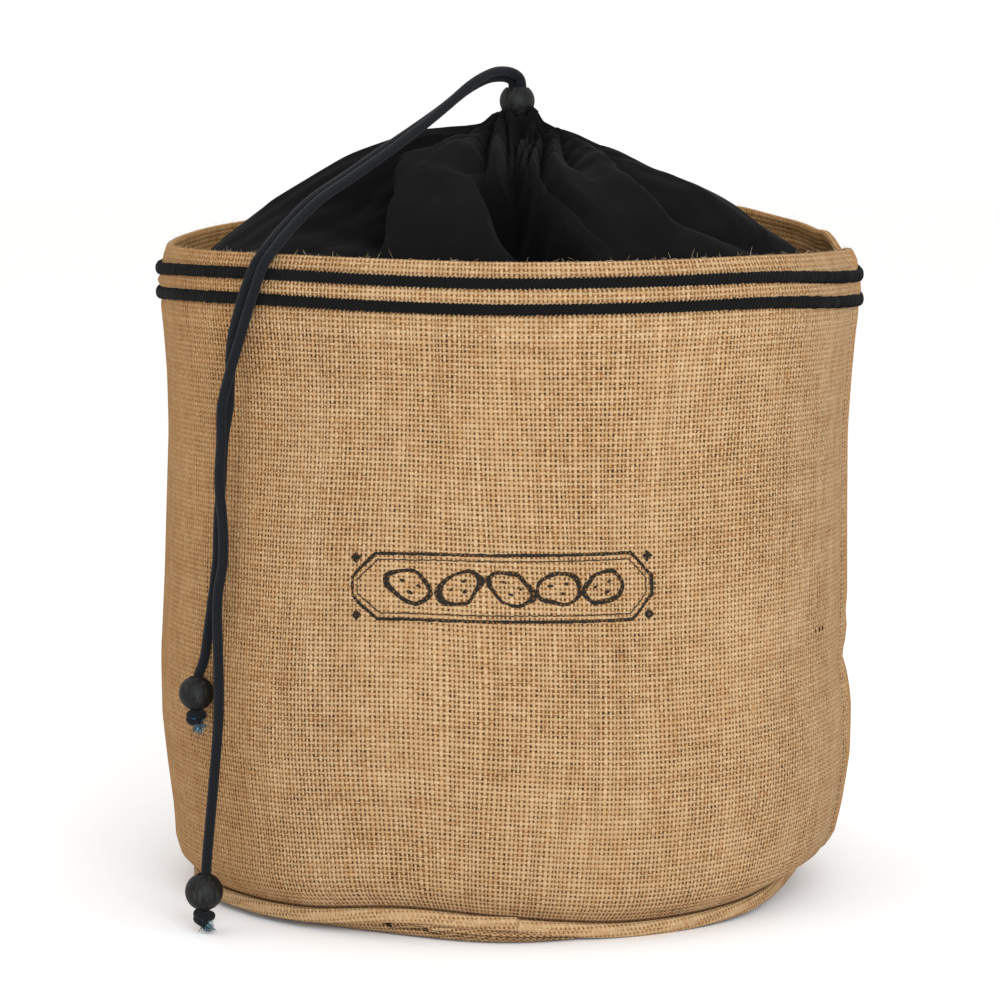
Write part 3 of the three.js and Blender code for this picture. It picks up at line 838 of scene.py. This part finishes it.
def sewn_and_printed(tree, cloth, colour, height):
    """The panel's sewing: hem stitches, the stitched join, painted shade in the crease at its foot, and
    a snag.
    """
    hem = dashes(tree, cloth, 0, SEAM_TUCK + PANEL_RISE - HEM - 2 * MM, 0.7, 3.8 * MM)
    hem = add(tree, "Math MULTIPLY", [hem, 0.45])
    colour = add(tree, "Mix", {0: hem, 6: colour, 7: srgb("c9b08a")}, 2, data_type="RGBA")
    join = dashes(tree, cloth, 1, PANEL_WIDTH - 6 * MM, 1.0, 3.4 * MM)
    join = add(tree, "Math MULTIPLY", [join, 0.75])
    colour = add(tree, "Mix", {0: join, 6: colour, 7: srgb("4a2a12")}, 2, data_type="RGBA")
    snag = 0.0
    for middle in SNAGS:
        gap = add(tree, "VectorMath SUBTRACT", [cloth, middle])
        gap = add(tree, "VectorMath MULTIPLY", [gap, (1300, 1050, 1)])
        gap = add(tree, "VectorMath LENGTH", [gap], out=1)
        mark = add(tree, "MapRange", [gap, 1.3, 0.9])
        snag = add(tree, "Math MAXIMUM", [snag, mark])
    colour = add(tree, "Mix", {0: snag, 6: colour, 7: srgb("3d2110")}, 2, data_type="RGBA")
    across, up, _ = add(tree, "SeparateXYZ", [cloth], None).outputs
    # painted shade in the crease where the panel turns under at its foot
    foot = add(tree, "MapRange", [up, SEAM_TUCK + 0.3 * MM, SEAM_TUCK + 1.6 * MM, 0.75, 0.0])
    colour = add(tree, "Mix", {0: foot, 6: colour, 7: srgb("3b2210")}, 2, data_type="RGBA")

    # painted shade: the cloth is made a little darker and yellower on its left flank, and darker by the
    # join, where less light falls
    for start, end, side_shade_colour in ((236, 221, "f9efe2"), (312, 334, "eeeef0")):
        span = [from_join(azimuth) for azimuth in (start, end)]
        laid = {0: add(tree, "MapRange", [across, *span]), 6: colour, 7: srgb(side_shade_colour)}
        colour = add(tree, "Mix", laid, 2, data_type="RGBA", blend_type="MULTIPLY")
    return printed(tree, cloth, colour, height)


def panel_place(across, up):
    """Where a point of the flat panel lies: across and up it in metres, from its lower left."""
    azimuth = JOIN_AZIMUTH + 360 * across / PANEL_WIDTH
    roll = math.pi * JUTE
    if up < SEAM_TUCK:
        foot = panel_point(azimuth, 0)
        inner = bearing(azimuth) * (seam_reach(azimuth) - 1.7 * MM)
        t = 1 - up / SEAM_TUCK
        spot = foot.lerp(inner, math.sin(t * math.pi / 2))
        spot.z = foot.z - 3.5 * MM * t
        return spot
    up -= SEAM_TUCK
    if up <= PANEL_RISE:
        return panel_point(azimuth, up / PANEL_RISE)
    up -= PANEL_RISE
    top = panel_point(azimuth, 1)
    if up <= roll:
        turn = up / JUTE
        top -= bearing(azimuth) * JUTE * (1 - math.cos(turn))
        top.z += JUTE * 0.8 * math.sin(turn)
        return top
    below = up - roll
    return panel_point(azimuth, 1 - below / PANEL_RISE, 2 * JUTE)


def wander(across, up, pitch):
    """How far the cloth's threads stray from their even places, in metres."""
    a, b = across / pitch, up / pitch
    near = noise.noise(Vector((a * 0.33, b * 0.03, 4.0))) * 0.55
    far = noise.noise(Vector((a * 0.025, b * 0.01, 8.0))) * 3.0
    return (near + far) * pitch


panel_rows = [SEAM_TUCK * j / 2 for j in range(2)]
panel_rows += [SEAM_TUCK + PANEL_RISE * j / PANEL_ROWS for j in range(PANEL_ROWS + 1)]
panel_rows += [panel_rows[-1] + math.pi * JUTE * j / ROLL_ROWS for j in range(1, ROLL_ROWS + 1)]
panel_rows += [panel_rows[-1] + HEM * j / HEM_ROWS for j in range(1, HEM_ROWS + 1)]
last = len(panel_rows) - 1
columns = round(PANEL_WIDTH / WARP_PITCH) * 2
bm = bmesh.new()
uv = bm.loops.layers.uv.new("UVMap")
bmesh.ops.create_grid(bm, x_segments=columns, y_segments=last, size=0.5)
for face in bm.faces:
    for loop in face.loops:
        x, y = loop.vert.co.xy
        loop[uv].uv = ((x + 0.5) * columns / 2 * WARP_PITCH, panel_rows[round((y + 0.5) * last)])
for vert in bm.verts:
    column = round((vert.co.x + 0.5) * columns)
    across = (vert.co.x + 0.5) * PANEL_WIDTH
    up = panel_rows[round((vert.co.y + 0.5) * last)]
    ends = min(1.0, 20 * min(across, PANEL_WIDTH - across) / PANEL_WIDTH)
    across += ends * wander(across, up, WARP_PITCH)
    vert.co = panel_place(across, up)
    turn = min(max(up - SEAM_TUCK - PANEL_RISE, 0) / JUTE, math.pi)
    rib = RIB * math.cos(turn) * (0.5 if column % 2 else -0.5)
    vert.co += bearing(JOIN_AZIMUTH + 360 * across / PANEL_WIDTH) * rib
panel = finished("side_panel", bm)
panel_cloth = hessian(
    "printed_hessian",
    "2f2418",
    marks=sewn_and_printed,
    doubled=SEAM_TUCK + PANEL_RISE - HEM,
)
panel.data.materials.append(panel_cloth)
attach(panel, "root")
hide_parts("wall")

# ---- trim cords ------------------------------------------------------------------------------
# Two black cotton cords sewn round the outside of the hem. Each is a tight gimp, so its edge is
# finely scalloped.

TRIM_WIDTH = 4.2 * MM
TRIM_DEPTH = 2.7 * MM
TRIM_RIB = 1.75 * MM
TRIM_SLANT = 0.5
TRIM_SIDES = 12

# how far the cord swells at each of the four steps of a rib, and by how much that varies
TRIM_SWELL = (1.18, 1.03, 0.88, 0.98)
TRIM_SPREAD = 0.08


def ribbed_cotton():
    """Black cotton gimp: matt, near-black, with a faint rib across it and a little lint."""
    material, tree = surface("ribbed_cotton")
    cloth = add(tree, "UVMap")
    ribs = add(tree, "Mapping", {0: cloth, 3: (2 * math.pi / TRIM_RIB, 900, 1)})
    ribs = add(tree, "VectorMath SINE", [ribs])
    rib = add(tree, "SeparateXYZ", [ribs], 0)
    lint = add(tree, "TexNoise", {"Vector": cloth, "Scale": 1500.0, "Detail": 2.0})
    tone = add(tree, "Math MULTIPLY_ADD", [rib, 0.1, lint])
    colour = add(tree, "ValToRGB", [tone], stops=[(0.35, "040403"), (0.62, "080706"), (0.85, "171512")])
    bump = add(tree, "Bump", {"Strength": 0.25, "Distance": 0.3 * MM, "Height": rib})
    sockets = {"Base Color": colour, "Normal": bump, "Roughness": 0.9}
    return coated(material, {**sockets, "Specular IOR Level": 0.13, "Sheen Weight": 0.02})


trim_material = ribbed_cotton()
for level, middles in trim_middles.items():
    path = smooth(middles, TRIM_RIB / 4, closed=True)
    random.seed(level)
    swells = [TRIM_SWELL[i % 4] + random.uniform(-TRIM_SPREAD, TRIM_SPREAD) for i in range(len(path))]
    made = tube(f"trim_gimp_{level}", path, TRIM_WIDTH, TRIM_SIDES, closed=True, swells=swells)
    reach_at = round_curve([place.xy.length for place in middles])
    height_at = round_curve([place.z for place in middles])
    for vert in made.data.vertices:
        azimuth = math.degrees(math.atan2(vert.co.y, vert.co.x))
        slant = TRIM_SLANT * (vert.co.z - height_at(azimuth)) / vert.co.xy.length
        vert.co.rotate(Matrix.Rotation(slant, 3, "Z"))
        middle = reach_at(azimuth)
        reach = vert.co.xy.length
        squashed = middle - 1.2 * MM + (reach - middle) * TRIM_DEPTH / TRIM_WIDTH
        vert.co.xy *= squashed / reach
    made.data.materials.append(trim_material)
    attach(made, "root")
    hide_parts(f"trim_{level}")

# ---- base ------------------------------------------------------------------------------------
# A round of the same hessian, cut on the slant to the side panel. It lies flat on the ground and
# turns up a little to its seam.

BASE_SKEW = 33
BASE_RINGS = 26
BASE_SPOKES = 216

# the share of the way out at which the edge starts to turn up, how far the cloth rolls out under
# the seam at the front, and how much of that roll each point of the edge takes
EDGE_SHARE = 0.6
ROLL_OUT = 8.5 * MM
BASE_ROLL = (0.9, 1.2, 1.15, 0.1)

base_rings = stations("base")
base_rings = {a: ring for a, ring in base_rings.items() if a != 0 or len(ring) > 2}
edge_lines = []
for azimuth in wall_rings:
    ring = sorted(base_rings[azimuth], key=lambda p: (p.xy.length, p.z))
    under = []
    for place in ring:
        if place.xy.length > 50 * MM and (not under or place.xy.length - under[-1].x > 0.2 * MM):
            under.append(Vector((place.xy.length, place.z, 0)))
    edge_lines.append(under)
edge_curves = [round_curve([line[k] for line in edge_lines]) for k in range(len(edge_lines[0]))]


def base_point(azimuth, share):
    """A point of the base's underside: share 0 is its middle and 1 its seam."""
    roll = Vector((ROLL_OUT * bell(azimuth, 270, 17), 0, 0))
    edge = [curve(azimuth) + roll * k for curve, k in zip(edge_curves, BASE_ROLL)]
    if share < EDGE_SHARE:
        return bearing(azimuth) * edge[0].x * share / EDGE_SHARE
    past = (share - EDGE_SHARE) / (1 - EDGE_SHARE)
    place = past * (len(edge) - 1)
    i = min(int(place), len(edge) - 2)
    spot = edge[i].lerp(edge[i + 1], place - i)
    reach = spot.x - tucked(azimuth) * past**2
    return bearing(azimuth) * reach + Vector((0, 0, max(spot.y, 0)))


# how far from its middle each point lies on the flat round
flat_reach = []
for i in range(BASE_SPOKES + 1):
    run = [base_point(360 * i / BASE_SPOKES - 180, j / BASE_RINGS) for j in range(BASE_RINGS + 1)]
    flat_reach.append([length(run[: j + 1]) for j in range(BASE_RINGS + 1)])

bm = bmesh.new()
uv = bm.loops.layers.uv.new("UVMap")
bmesh.ops.create_grid(bm, x_segments=BASE_SPOKES, y_segments=BASE_RINGS, size=0.5)
for face in bm.faces:
    for loop in face.loops:
        x, y = loop.vert.co.xy
        out = flat_reach[round((x + 0.5) * BASE_SPOKES)][round((y + 0.5) * BASE_RINGS)]
        loop[uv].uv = out * bearing(x * 360 + BASE_SKEW).xy
for vert in bm.verts:
    vert.co = base_point(vert.co.x * 360, max(vert.co.y + 0.5, 0.0))
bmesh.ops.remove_doubles(bm, verts=bm.verts, dist=DOUBLED)
for face in bm.faces:
    if face.normal.z > 0:
        face.normal_flip()
base_round = finished("base_round", bm)
thicken = base_round.modifiers.new("thickness", "SOLIDIFY")
thicken.thickness = JUTE * 0.9
thicken.offset = -1
base_round.data.materials.append(hessian("plain_hessian", "46321f"))
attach(base_round, "root")
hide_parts("base")

# ---- seam binding ----------------------------------------------------------------------------
# A strip of hessian folded over the seam between the panel and the base. It is stitched through
# the crease above it, and its end laps over its start at the front.

BINDING_HEIGHT = 5.8 * MM
BINDING_THICK = 2.9 * MM
BINDING_REACH = 0.1275
BINDING_SIDES = 16
BINDING_STEPS = 460
LAP_AZIMUTH = 272.1
LAP_OVER = 3.5


def binding_rim(azimuth):
    """The middle of the binding's section at an azimuth."""
    ring = bearing(azimuth) * (seam_reach(azimuth) + 0.05 * MM)
    ring.z = seam_at(azimuth) - BINDING_HEIGHT / 2
    return ring


bm = bmesh.new()
uv = bm.loops.layers.uv.new("UVMap")
rows = []
for i in range(BINDING_STEPS + 1):
    azimuth = LAP_AZIMUTH - LAP_OVER + (360 + LAP_OVER) * i / BINDING_STEPS
    over = max(0.0, 1 - (LAP_AZIMUTH + 360 - azimuth) / (2.6 * LAP_OVER))
    over = over * over * (3 - 2 * over)
    middle = binding_rim(azimuth)
    out = bearing(azimuth)
    along = azimuth / 360 * 2 * math.pi * BINDING_REACH
    wave = 0.25 * MM * noise.noise(Vector((along / 0.011, 3.1, 0)))
    ring = []
    for k in range(BINDING_SIDES):
        turn = 2 * math.pi * k / BINDING_SIDES
        high = math.sin(turn)
        up = math.copysign(abs(high) ** 0.7, high) * (BINDING_HEIGHT / 2)
        reach = math.cos(turn) * (BINDING_THICK / 2 + wave)
        spot = middle + out * (reach + over * MM) + Vector((0, 0, up + over * 0.9 * MM))
        ring.append(bm.verts.new(spot))
    rows.append((along, ring))
around = 2 * (BINDING_HEIGHT + BINDING_THICK) * 0.86
for (low_u, low), (high_u, high) in zip(rows, rows[1:]):
    for k in range(BINDING_SIDES):
        after = (k + 1) % BINDING_SIDES
        face = bm.faces.new((low[k], high[k], high[after], low[after]))
        for loop, (u, v) in zip(face.loops, ((low_u, k), (high_u, k), (high_u, k + 1), (low_u, k + 1))):
            down = around * v / BINDING_SIDES
            loop[uv].uv = (0.97 * u + 0.3 * down, 0.97 * down - 0.06 * u)
bm.faces.new(rows[0][1])
bm.faces.new(reversed(rows[-1][1]))
bmesh.ops.recalc_face_normals(bm, faces=bm.faces)
binding = finished("seam_binding", bm)
binding.data.materials.append(hessian("crowded_hessian", "553619", crowded=0.2))
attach(binding, "root")
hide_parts("base_welt")

# ---- closure ---------------------------------------------------------------------------------
# A collar of thin black cotton, sewn inside the hem and drawn shut to a gathered neck. Its cord
# channel opens in a notch at the front, where the two ends of the drawstring come out.

# the strip is taken to be cut narrower towards the neck, so its area is less than its sides give
CLOSURE_CUT = (0.87, 0.19)
COTTON = 0.7 * MM
CLOSURE_AROUND = 480
CLOSURE_UP = 84
CORDS_REACH = 5.4 * MM

# radius, height, shift to +X, lift of the left side, and how much of the rim's rise it takes up
PROFILE = [
    (129.0, 252.0, 0.4, 0.0, 0.95),
    (119.5, 262.0, 0.6, 1.0, 0.75),
    (106.0, 272.4, 1.0, 1.0, 0.45),
    (90.0, 283.0, 1.6, 1.6, 0.20),
    (74.0, 291.2, 2.4, 3.0, 0.05),
    (57.0, 299.0, 3.2, 4.0, 0.0),
    (41.0, 305.5, 4.0, 3.6, 0.0),
    (26.0, 310.2, 4.6, 1.7, 0.0),
    (15.5, 313.2, 5.0, 0.8, 0.0),
    (11.5, 315.6, 5.0, 1.2, 0.0),
    (9.6, 317.8, 5.0, 0.8, 0.0),
]

# radius and height, over the neck's top edge and down inside it
NECK_TOP = [(8.8, 318.6), (7.9, 319.2), (7.0, 318.3), (6.1, 314.5), (5.5, 307.0)]

# Folds at the front from the neck down to the rim. For each of the radii: the azimuth of the
# fold's line, and how far it stands out (a ridge) or in (a crease), in millimetres.
FOLD_RADII = (9, 13, 20, 30, 42, 56, 71, 79, 98, 116)
FOLDS = [
    ((200, 202, 205, 208, 211, 213, 215, 217, 222, 229), (0, -1, -2, -3, -5, -8, -10, -12, -12, -6)),
    ((204, 207, 213, 222, 230, 233, 228, 233, 239, 243), (0, -2, -4, -6, -9, -11, -14, -17, -18, -10)),
    ((208, 212, 220, 229, 235, 238, 233, 237, 243, 246), (1, 1.5, 2.5, 3, 4, 5.5, 7, 7.5, 6, 3)),
    ((211, 215, 228, 238, 246, 250, 250, 249, 252, 254), (1, 1.5, 2, 2.5, 3, 4, 4, 5.5, 4.8, 2)),
    ((216, 222, 236, 246, 254, 259, 261, 257, 261, 265), (-2, -3, -5, -6, -6, -6, -3, 5, 4.5, 2)),
    ((224, 237, 248, 255, 260, 263, 264.5, 260, 264.5, 268), (2, 3, 3.5, 3.5, 4, 5, 4.5, 5, 4.5, 2)),
    (
        (236, 251, 259, 264, 266, 267.5, 267, 262.5, 267, 270.5),
        (-2, -3, -4, -5, -6, -6, -4, -18, -10, -3),
    ),
    ((242, 257, 262, 267, 268.5, 270, 269, 266, 269, 272.5), (1, 1, 0.5, 0, -1, -2, -12, -28, -20, -7)),
    (
        (285, 275, 270, 269.3, 270.2, 270.7, 271, 271, 272.5, 276),
        (-3, -5, -9, -9, -6, -6, -18, -30, -28, -12),
    ),
    (
        (328, 298, 279, 273.5, 271.8, 271.3, 272.5, 273.5, 275.5, 280),
        (1.5, 3, 3.5, 3, 1.5, -1, -14, -28, -28, -14),
    ),
    (
        (333, 308, 284, 277.5, 273.8, 272.2, 273.8, 275.4, 279, 284),
        (-1, -3, -3.5, -3.5, -4, -5, -9, -19, -23, -13),
    ),
    (
        (337, 313, 287.5, 279.8, 275.4, 273.8, 275, 277, 282, 286.5),
        (0.5, 1, 1.5, 1.5, 1.5, 0.5, 0, 1, 1.5, 0),
    ),
    (
        (340, 318, 291, 282.5, 277.5, 275.4, 276.3, 278.2, 283, 288),
        (-1, -2, -4, -5, -5, -4, -3.5, -2, 0, 0),
    ),
    ((343, 323, 296, 286.5, 280.5, 278, 278, 279.6, 284.5, 289), (0.5, 1, 1.5, 2, 2, 2, 2, 2.5, 2.5, 1)),
    ((347, 328, 303, 292, 285, 281.5, 279.7, 281, 287, 291), (-1, -4, -6, -8, -9, -9, -8, -6, -1, 0)),
    ((350, 333, 316, 300, 291, 287, 285, 286, 291, 294), (0.5, 1.5, 2.5, 3, 3.5, 3.5, 4, 4, 4, 2)),
    ((352, 342, 331, 309, 300, 295, 294, 295, 297, 299), (-1, -2, -5, -7, -6.5, -2, 3, 4.5, 4.5, 2)),
    ((356, 350, 341, 326, 316, 308, 304.3, 304, 305, 305), (0.5, 1, 2, 3, 4, 5.5, 6.5, 7.5, 6.5, 3)),
    ((358, 354, 347, 336, 326, 317, 310, 307, 311, 340), (0, -0.5, -1, -2, -3, -4, -6, -8, -8, -3)),
    ((362, 360, 357, 350, 342, 336, 332, 330, 334, 352), (0.5, 1, 1.5, 2, 3, 3.5, 4, 4.5, 3.5, 0.5)),
]

# the sides and back fold more evenly
BACK_FOLDS = (
    (9, -5), (28, 3), (52, -6), (72, 4), (92, -7),
    (109, 4), (130, -6), (151, 3), (174, -3), (193, 4),
)
BACK_SHARE = (0.15, 0.2, 0.35, 0.5, 0.7, 0.9, 1.0, 1.0, 0.7, 0.3)
for azimuth, rise in BACK_FOLDS:
    FOLDS.append(((azimuth,) * len(FOLD_RADII), [rise * share for share in BACK_SHARE]))


def along_radii(values, radius):
    """A value of a fold at a radius, in millimetres."""
    if radius <= FOLD_RADII[0]:
        return values[0]
    for i in range(len(FOLD_RADII) - 1):
        if radius <= FOLD_RADII[i + 1]:
            t = (radius - FOLD_RADII[i]) / (FOLD_RADII[i + 1] - FOLD_RADII[i])
            t = t * t * (3 - 2 * t)
            return values[i] * (1 - t) + values[i + 1] * t
    return values[-1] * max(0.0, 1 - (radius - FOLD_RADII[-1]) / 10)


def fold_rise(radius):
    """The folds' stand-out round a ring, as a function of azimuth."""
    lines = sorted(
        (along_radii(places, min(radius, FOLD_RADII[-1])), along_radii(rises, radius))
        for places, rises in FOLDS
    )
    lines = [(lines[-1][0] - 360, lines[-1][1]), *lines, (lines[0][0] + 360, lines[0][1])]

    blunt = min(0.6, max(0.0, (radius - 40) / 60))

    def at(azimuth):
        turn = (azimuth - lines[1][0]) % 360 + lines[1][0]
        for (a, low), (b, high) in zip(lines[1:], lines[2:]):
            if turn <= b:
                t = (turn - a) / max(b - a, 1e-6)
                if low > high:
                    low, high, t = high, low, 1 - t
                return low + (high - low) * (t * blunt + (1 - blunt) * math.sin(math.pi / 2 * t) ** 0.9)
        return lines[1][1]

    return at


def closure_line(azimuth):
    """The closure's section at an azimuth, before it is folded.

    It runs from the lower edge up to the neck, over the top and down inside.
    """
    out = bearing(azimuth)
    rise = rim_at(azimuth) / MM - 263
    line = []
    for below, inward in ((32.5, 2.2), (27.6, 2.3), (21.0, 6.4)):
        share = 1 - below * MM / (rim_at(azimuth) - seam_at(azimuth))
        line.append(panel_point(azimuth, share, inward * MM))
    for radius, height, shift, lean, follow in PROFILE:
        sag = 4.5 * math.exp(-(((radius - 28) / 16) ** 2)) * max(0.0, -out.y) ** 1.5
        height += follow * rise - lean * out.x - sag
        line.append((out * radius + Vector((shift, 0, height))) * MM)
    for radius, height in NECK_TOP:
        line.append((out * radius + Vector((SLIDER.x / MM, 0, height))) * MM)
    even = smooth(line, 1 * MM)
    places = [(len(even) - 1) * k / CLOSURE_UP for k in range(CLOSURE_UP + 1)]
    return [even[int(p)].lerp(even[min(int(p) + 1, len(even) - 1)], p - int(p)) for p in places]


neck = Vector((SLIDER.x, 0, 0))
fold_rings = {}
grid = []
bm = bmesh.new()
uv = bm.loops.layers.uv.new("UVMap")
fold_layer = bm.verts.layers.float.new("fold")
for i in range(CLOSURE_AROUND):
    azimuth = 360 * i / CLOSURE_AROUND
    out = bearing(azimuth)
    line = closure_line(azimuth)
    over_top = max(range(len(line)), key=lambda k: line[k].z)
    column = []
    for k, spot in enumerate(line):
        run = (line[min(k + 1, CLOSURE_UP)] - line[max(k - 1, 0)]).normalized()
        normal = out * run.z - Vector((0, 0, run.dot(out)))
        reach = (spot - neck).xy.length / MM
        ring = round(reach * 2) / 2
        if ring not in fold_rings:
            fold_rings[ring] = fold_rise(ring)
        rise = fold_rings[ring](azimuth)
        soft = 1.6 * min(1.0, reach / 60) * noise.noise(spot * 45)
        pleats = 0.7 * noise.noise(Vector((out.x * 14, out.y * 14, reach * 0.05)))
        if reach > 122:
            soft, pleats = 0.2 * soft, 0.0
        if k > over_top:
            rise = 0.2 * rise
        spot = spot + normal * (rise + soft + pleats) * MM
        # the channel's notch at the front, and its ruffle, higher at the right and the back
        opened = bell(azimuth, 277, 13) * max(0.0, 1 - reach / 28) if k <= over_top else 0.0
        ruffle = bell(azimuth, 325, 20) * max(0.0, 1 - reach / 15)
        back = max(0.0, out.y) * max(0.0, 1 - reach / 15)
        spot.z += (3.8 * ruffle + 1.5 * back - 10 * opened) * MM

        # the cords fill the middle of the neck
        short = CORDS_REACH - (spot - neck).xy.length
        if short > 0:
            spot += out * short
        # the fold's rise is kept for painted shade in the creases, and the inside of the neck is set to
        # -12 so that it is painted in shade
        column.append(bm.verts.new(spot))
        column[-1][fold_layer] = rise if k <= over_top else -12
    grid.append(column)
for i in range(CLOSURE_AROUND):
    here, after = grid[i], grid[(i + 1) % CLOSURE_AROUND]
    for k in range(CLOSURE_UP):
        face = bm.faces.new((here[k], after[k], after[k + 1], here[k + 1]))
        for loop, (a, b) in zip(face.loops, ((i, k), (i + 1, k), (i + 1, k + 1), (i, k + 1))):
            loop[uv].uv = (CLOSURE_CUT[0] * a / CLOSURE_AROUND, CLOSURE_CUT[1] * b / CLOSURE_UP)
closure = finished("closure", bm)
thicken = closure.modifiers.new("thickness", "SOLIDIFY")
thicken.thickness = COTTON
thicken.offset = -1


def black_cotton():
    """Fine plain-woven cotton dyed black: matt, with painted shade in its creases and a faint brownish
    painted highlight on its ridges.
    """
    material, tree = surface("black_cotton")
    cloth = add(tree, "UVMap")
    wide = add(tree, "TexNoise", {"Vector": cloth, "Scale": 60.0, "Detail": 3.0})
    fine = add(tree, "Mapping", {0: cloth, 3: (2600, 2600, 1)})
    weave = add(tree, "TexNoise", {"Vector": fine, "Scale": 1.0, "Detail": 1.0})
    tone = add(tree, "Math MULTIPLY_ADD", [wide, 0.6, weave])
    # painted shade and highlight: darker the further a point lies in a crease or inside the neck, a
    # little lighter on the ridges
    fold = add(tree, "Attribute", out="Fac", attribute_name="fold")
    fold_shade = add(tree, "MapRange", [fold, -24, 6, -0.6, 0.1])
    tone = add(tree, "Math ADD", [tone, fold_shade])
    colour = add(tree, "ValToRGB", [tone], stops=[(0.2, "040404"), (0.5, "080707"), (1.0, "0f0e0d")])
    bump = add(tree, "Bump", {"Strength": 0.15, "Distance": 0.1 * MM, "Height": weave})
    sockets = {"Base Color": colour, "Normal": bump, "Roughness": 0.95}
    return coated(material, {**sockets, "Specular IOR Level": 0.05, "Sheen Weight": 0.01})


closure.data.materials.append(black_cotton())
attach(closure, "root")
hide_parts("collar")

# ---- loose fibres ----------------------------------------------------------------------------
# Stray jute fibres stand up all along the folded rim, most of them short and a few long.

FIBRES = 760
FIBRE_WIDTH = 0.14 * MM


def jute_fibre():
    """Single jute fibres, straw-brown to nearly white, the pale ones a painted highlight, at random from
    fibre to fibre.
    """
    material, tree = surface("jute_fibre")
    tone = add(tree, "Attribute", out="Fac", attribute_name="tone")
    stops = [(0.0, "8c6a42"), (0.5, "c2a070"), (1.0, "e9d8b8")]
    colour = add(tree, "ValToRGB", [tone], stops=stops)
    return coated(material, {"Base Color": colour, "Roughness": 0.7, "Sheen Weight": 0.1})


random.seed(23)
lines, tones = [], []
for _ in range(FIBRES):
    azimuth = random.uniform(0, 360)
    root = panel_point(azimuth, 1) - bearing(azimuth) * JUTE * random.uniform(0.2, 1.8)
    root.z += 0.9 * MM
    reach = (0.4 + 2.4 * random.random() ** 3) * MM
    side = bearing(azimuth + 90) * random.gauss(0, 0.8)
    way = Vector((0, 0, random.uniform(0.3, 1.0))) + side
    way = (way - bearing(azimuth) * random.uniform(-0.3, 0.4)).normalized()
    curl = Vector((random.gauss(0, 1), random.gauss(0, 1), random.gauss(0, 0.7))) * reach * 0.5
    lines.append([root + way * reach * t + curl * t * t for t in (0, 0.3, 0.6, 0.85, 1)])
    tones.append(random.random())
fuzz = wisps("rim_fibres", lines, FIBRE_WIDTH, tones, jute_fibre())

# ---- room ------------------------------------------------------------------------------------
# A plain pale floor, a white room, and one large soft lamp in front.

bpy.ops.mesh.primitive_plane_add(size=400, location=(0, 0, -0.0002))
floor = bpy.context.object
floor.name = "floor"
white_paint, _ = surface("matt_white_floor")
floor.data.materials.append(coated(white_paint, {"Base Color": srgb("fdfdfd"), "Roughness": 0.9}))

world = bpy.data.worlds.new("white_room")
bpy.context.scene.world = world
world.use_nodes = True
world.node_tree.nodes["Background"].inputs[0].default_value = (1.03, 1.02, 1.01, 1)
world.node_tree.nodes["Background"].inputs[1].default_value = 1.0
lamp = bpy.data.objects.new("softbox_front", bpy.data.lights.new("softbox_front", "AREA"))
lamp.data.size = 1.3
lamp.data.energy = 52
lamp.data.color = (0.845, 0.935, 1.02)
lamp.location = (0.40, -2.22, 0.74)
towards = Vector((0, 0, 0.15)) - lamp.location
lamp.rotation_euler = towards.to_track_quat("-Z", "Y").to_euler()
bpy.context.scene.collection.objects.link(lamp)
bpy.context.scene.view_settings.view_transform = "Standard"
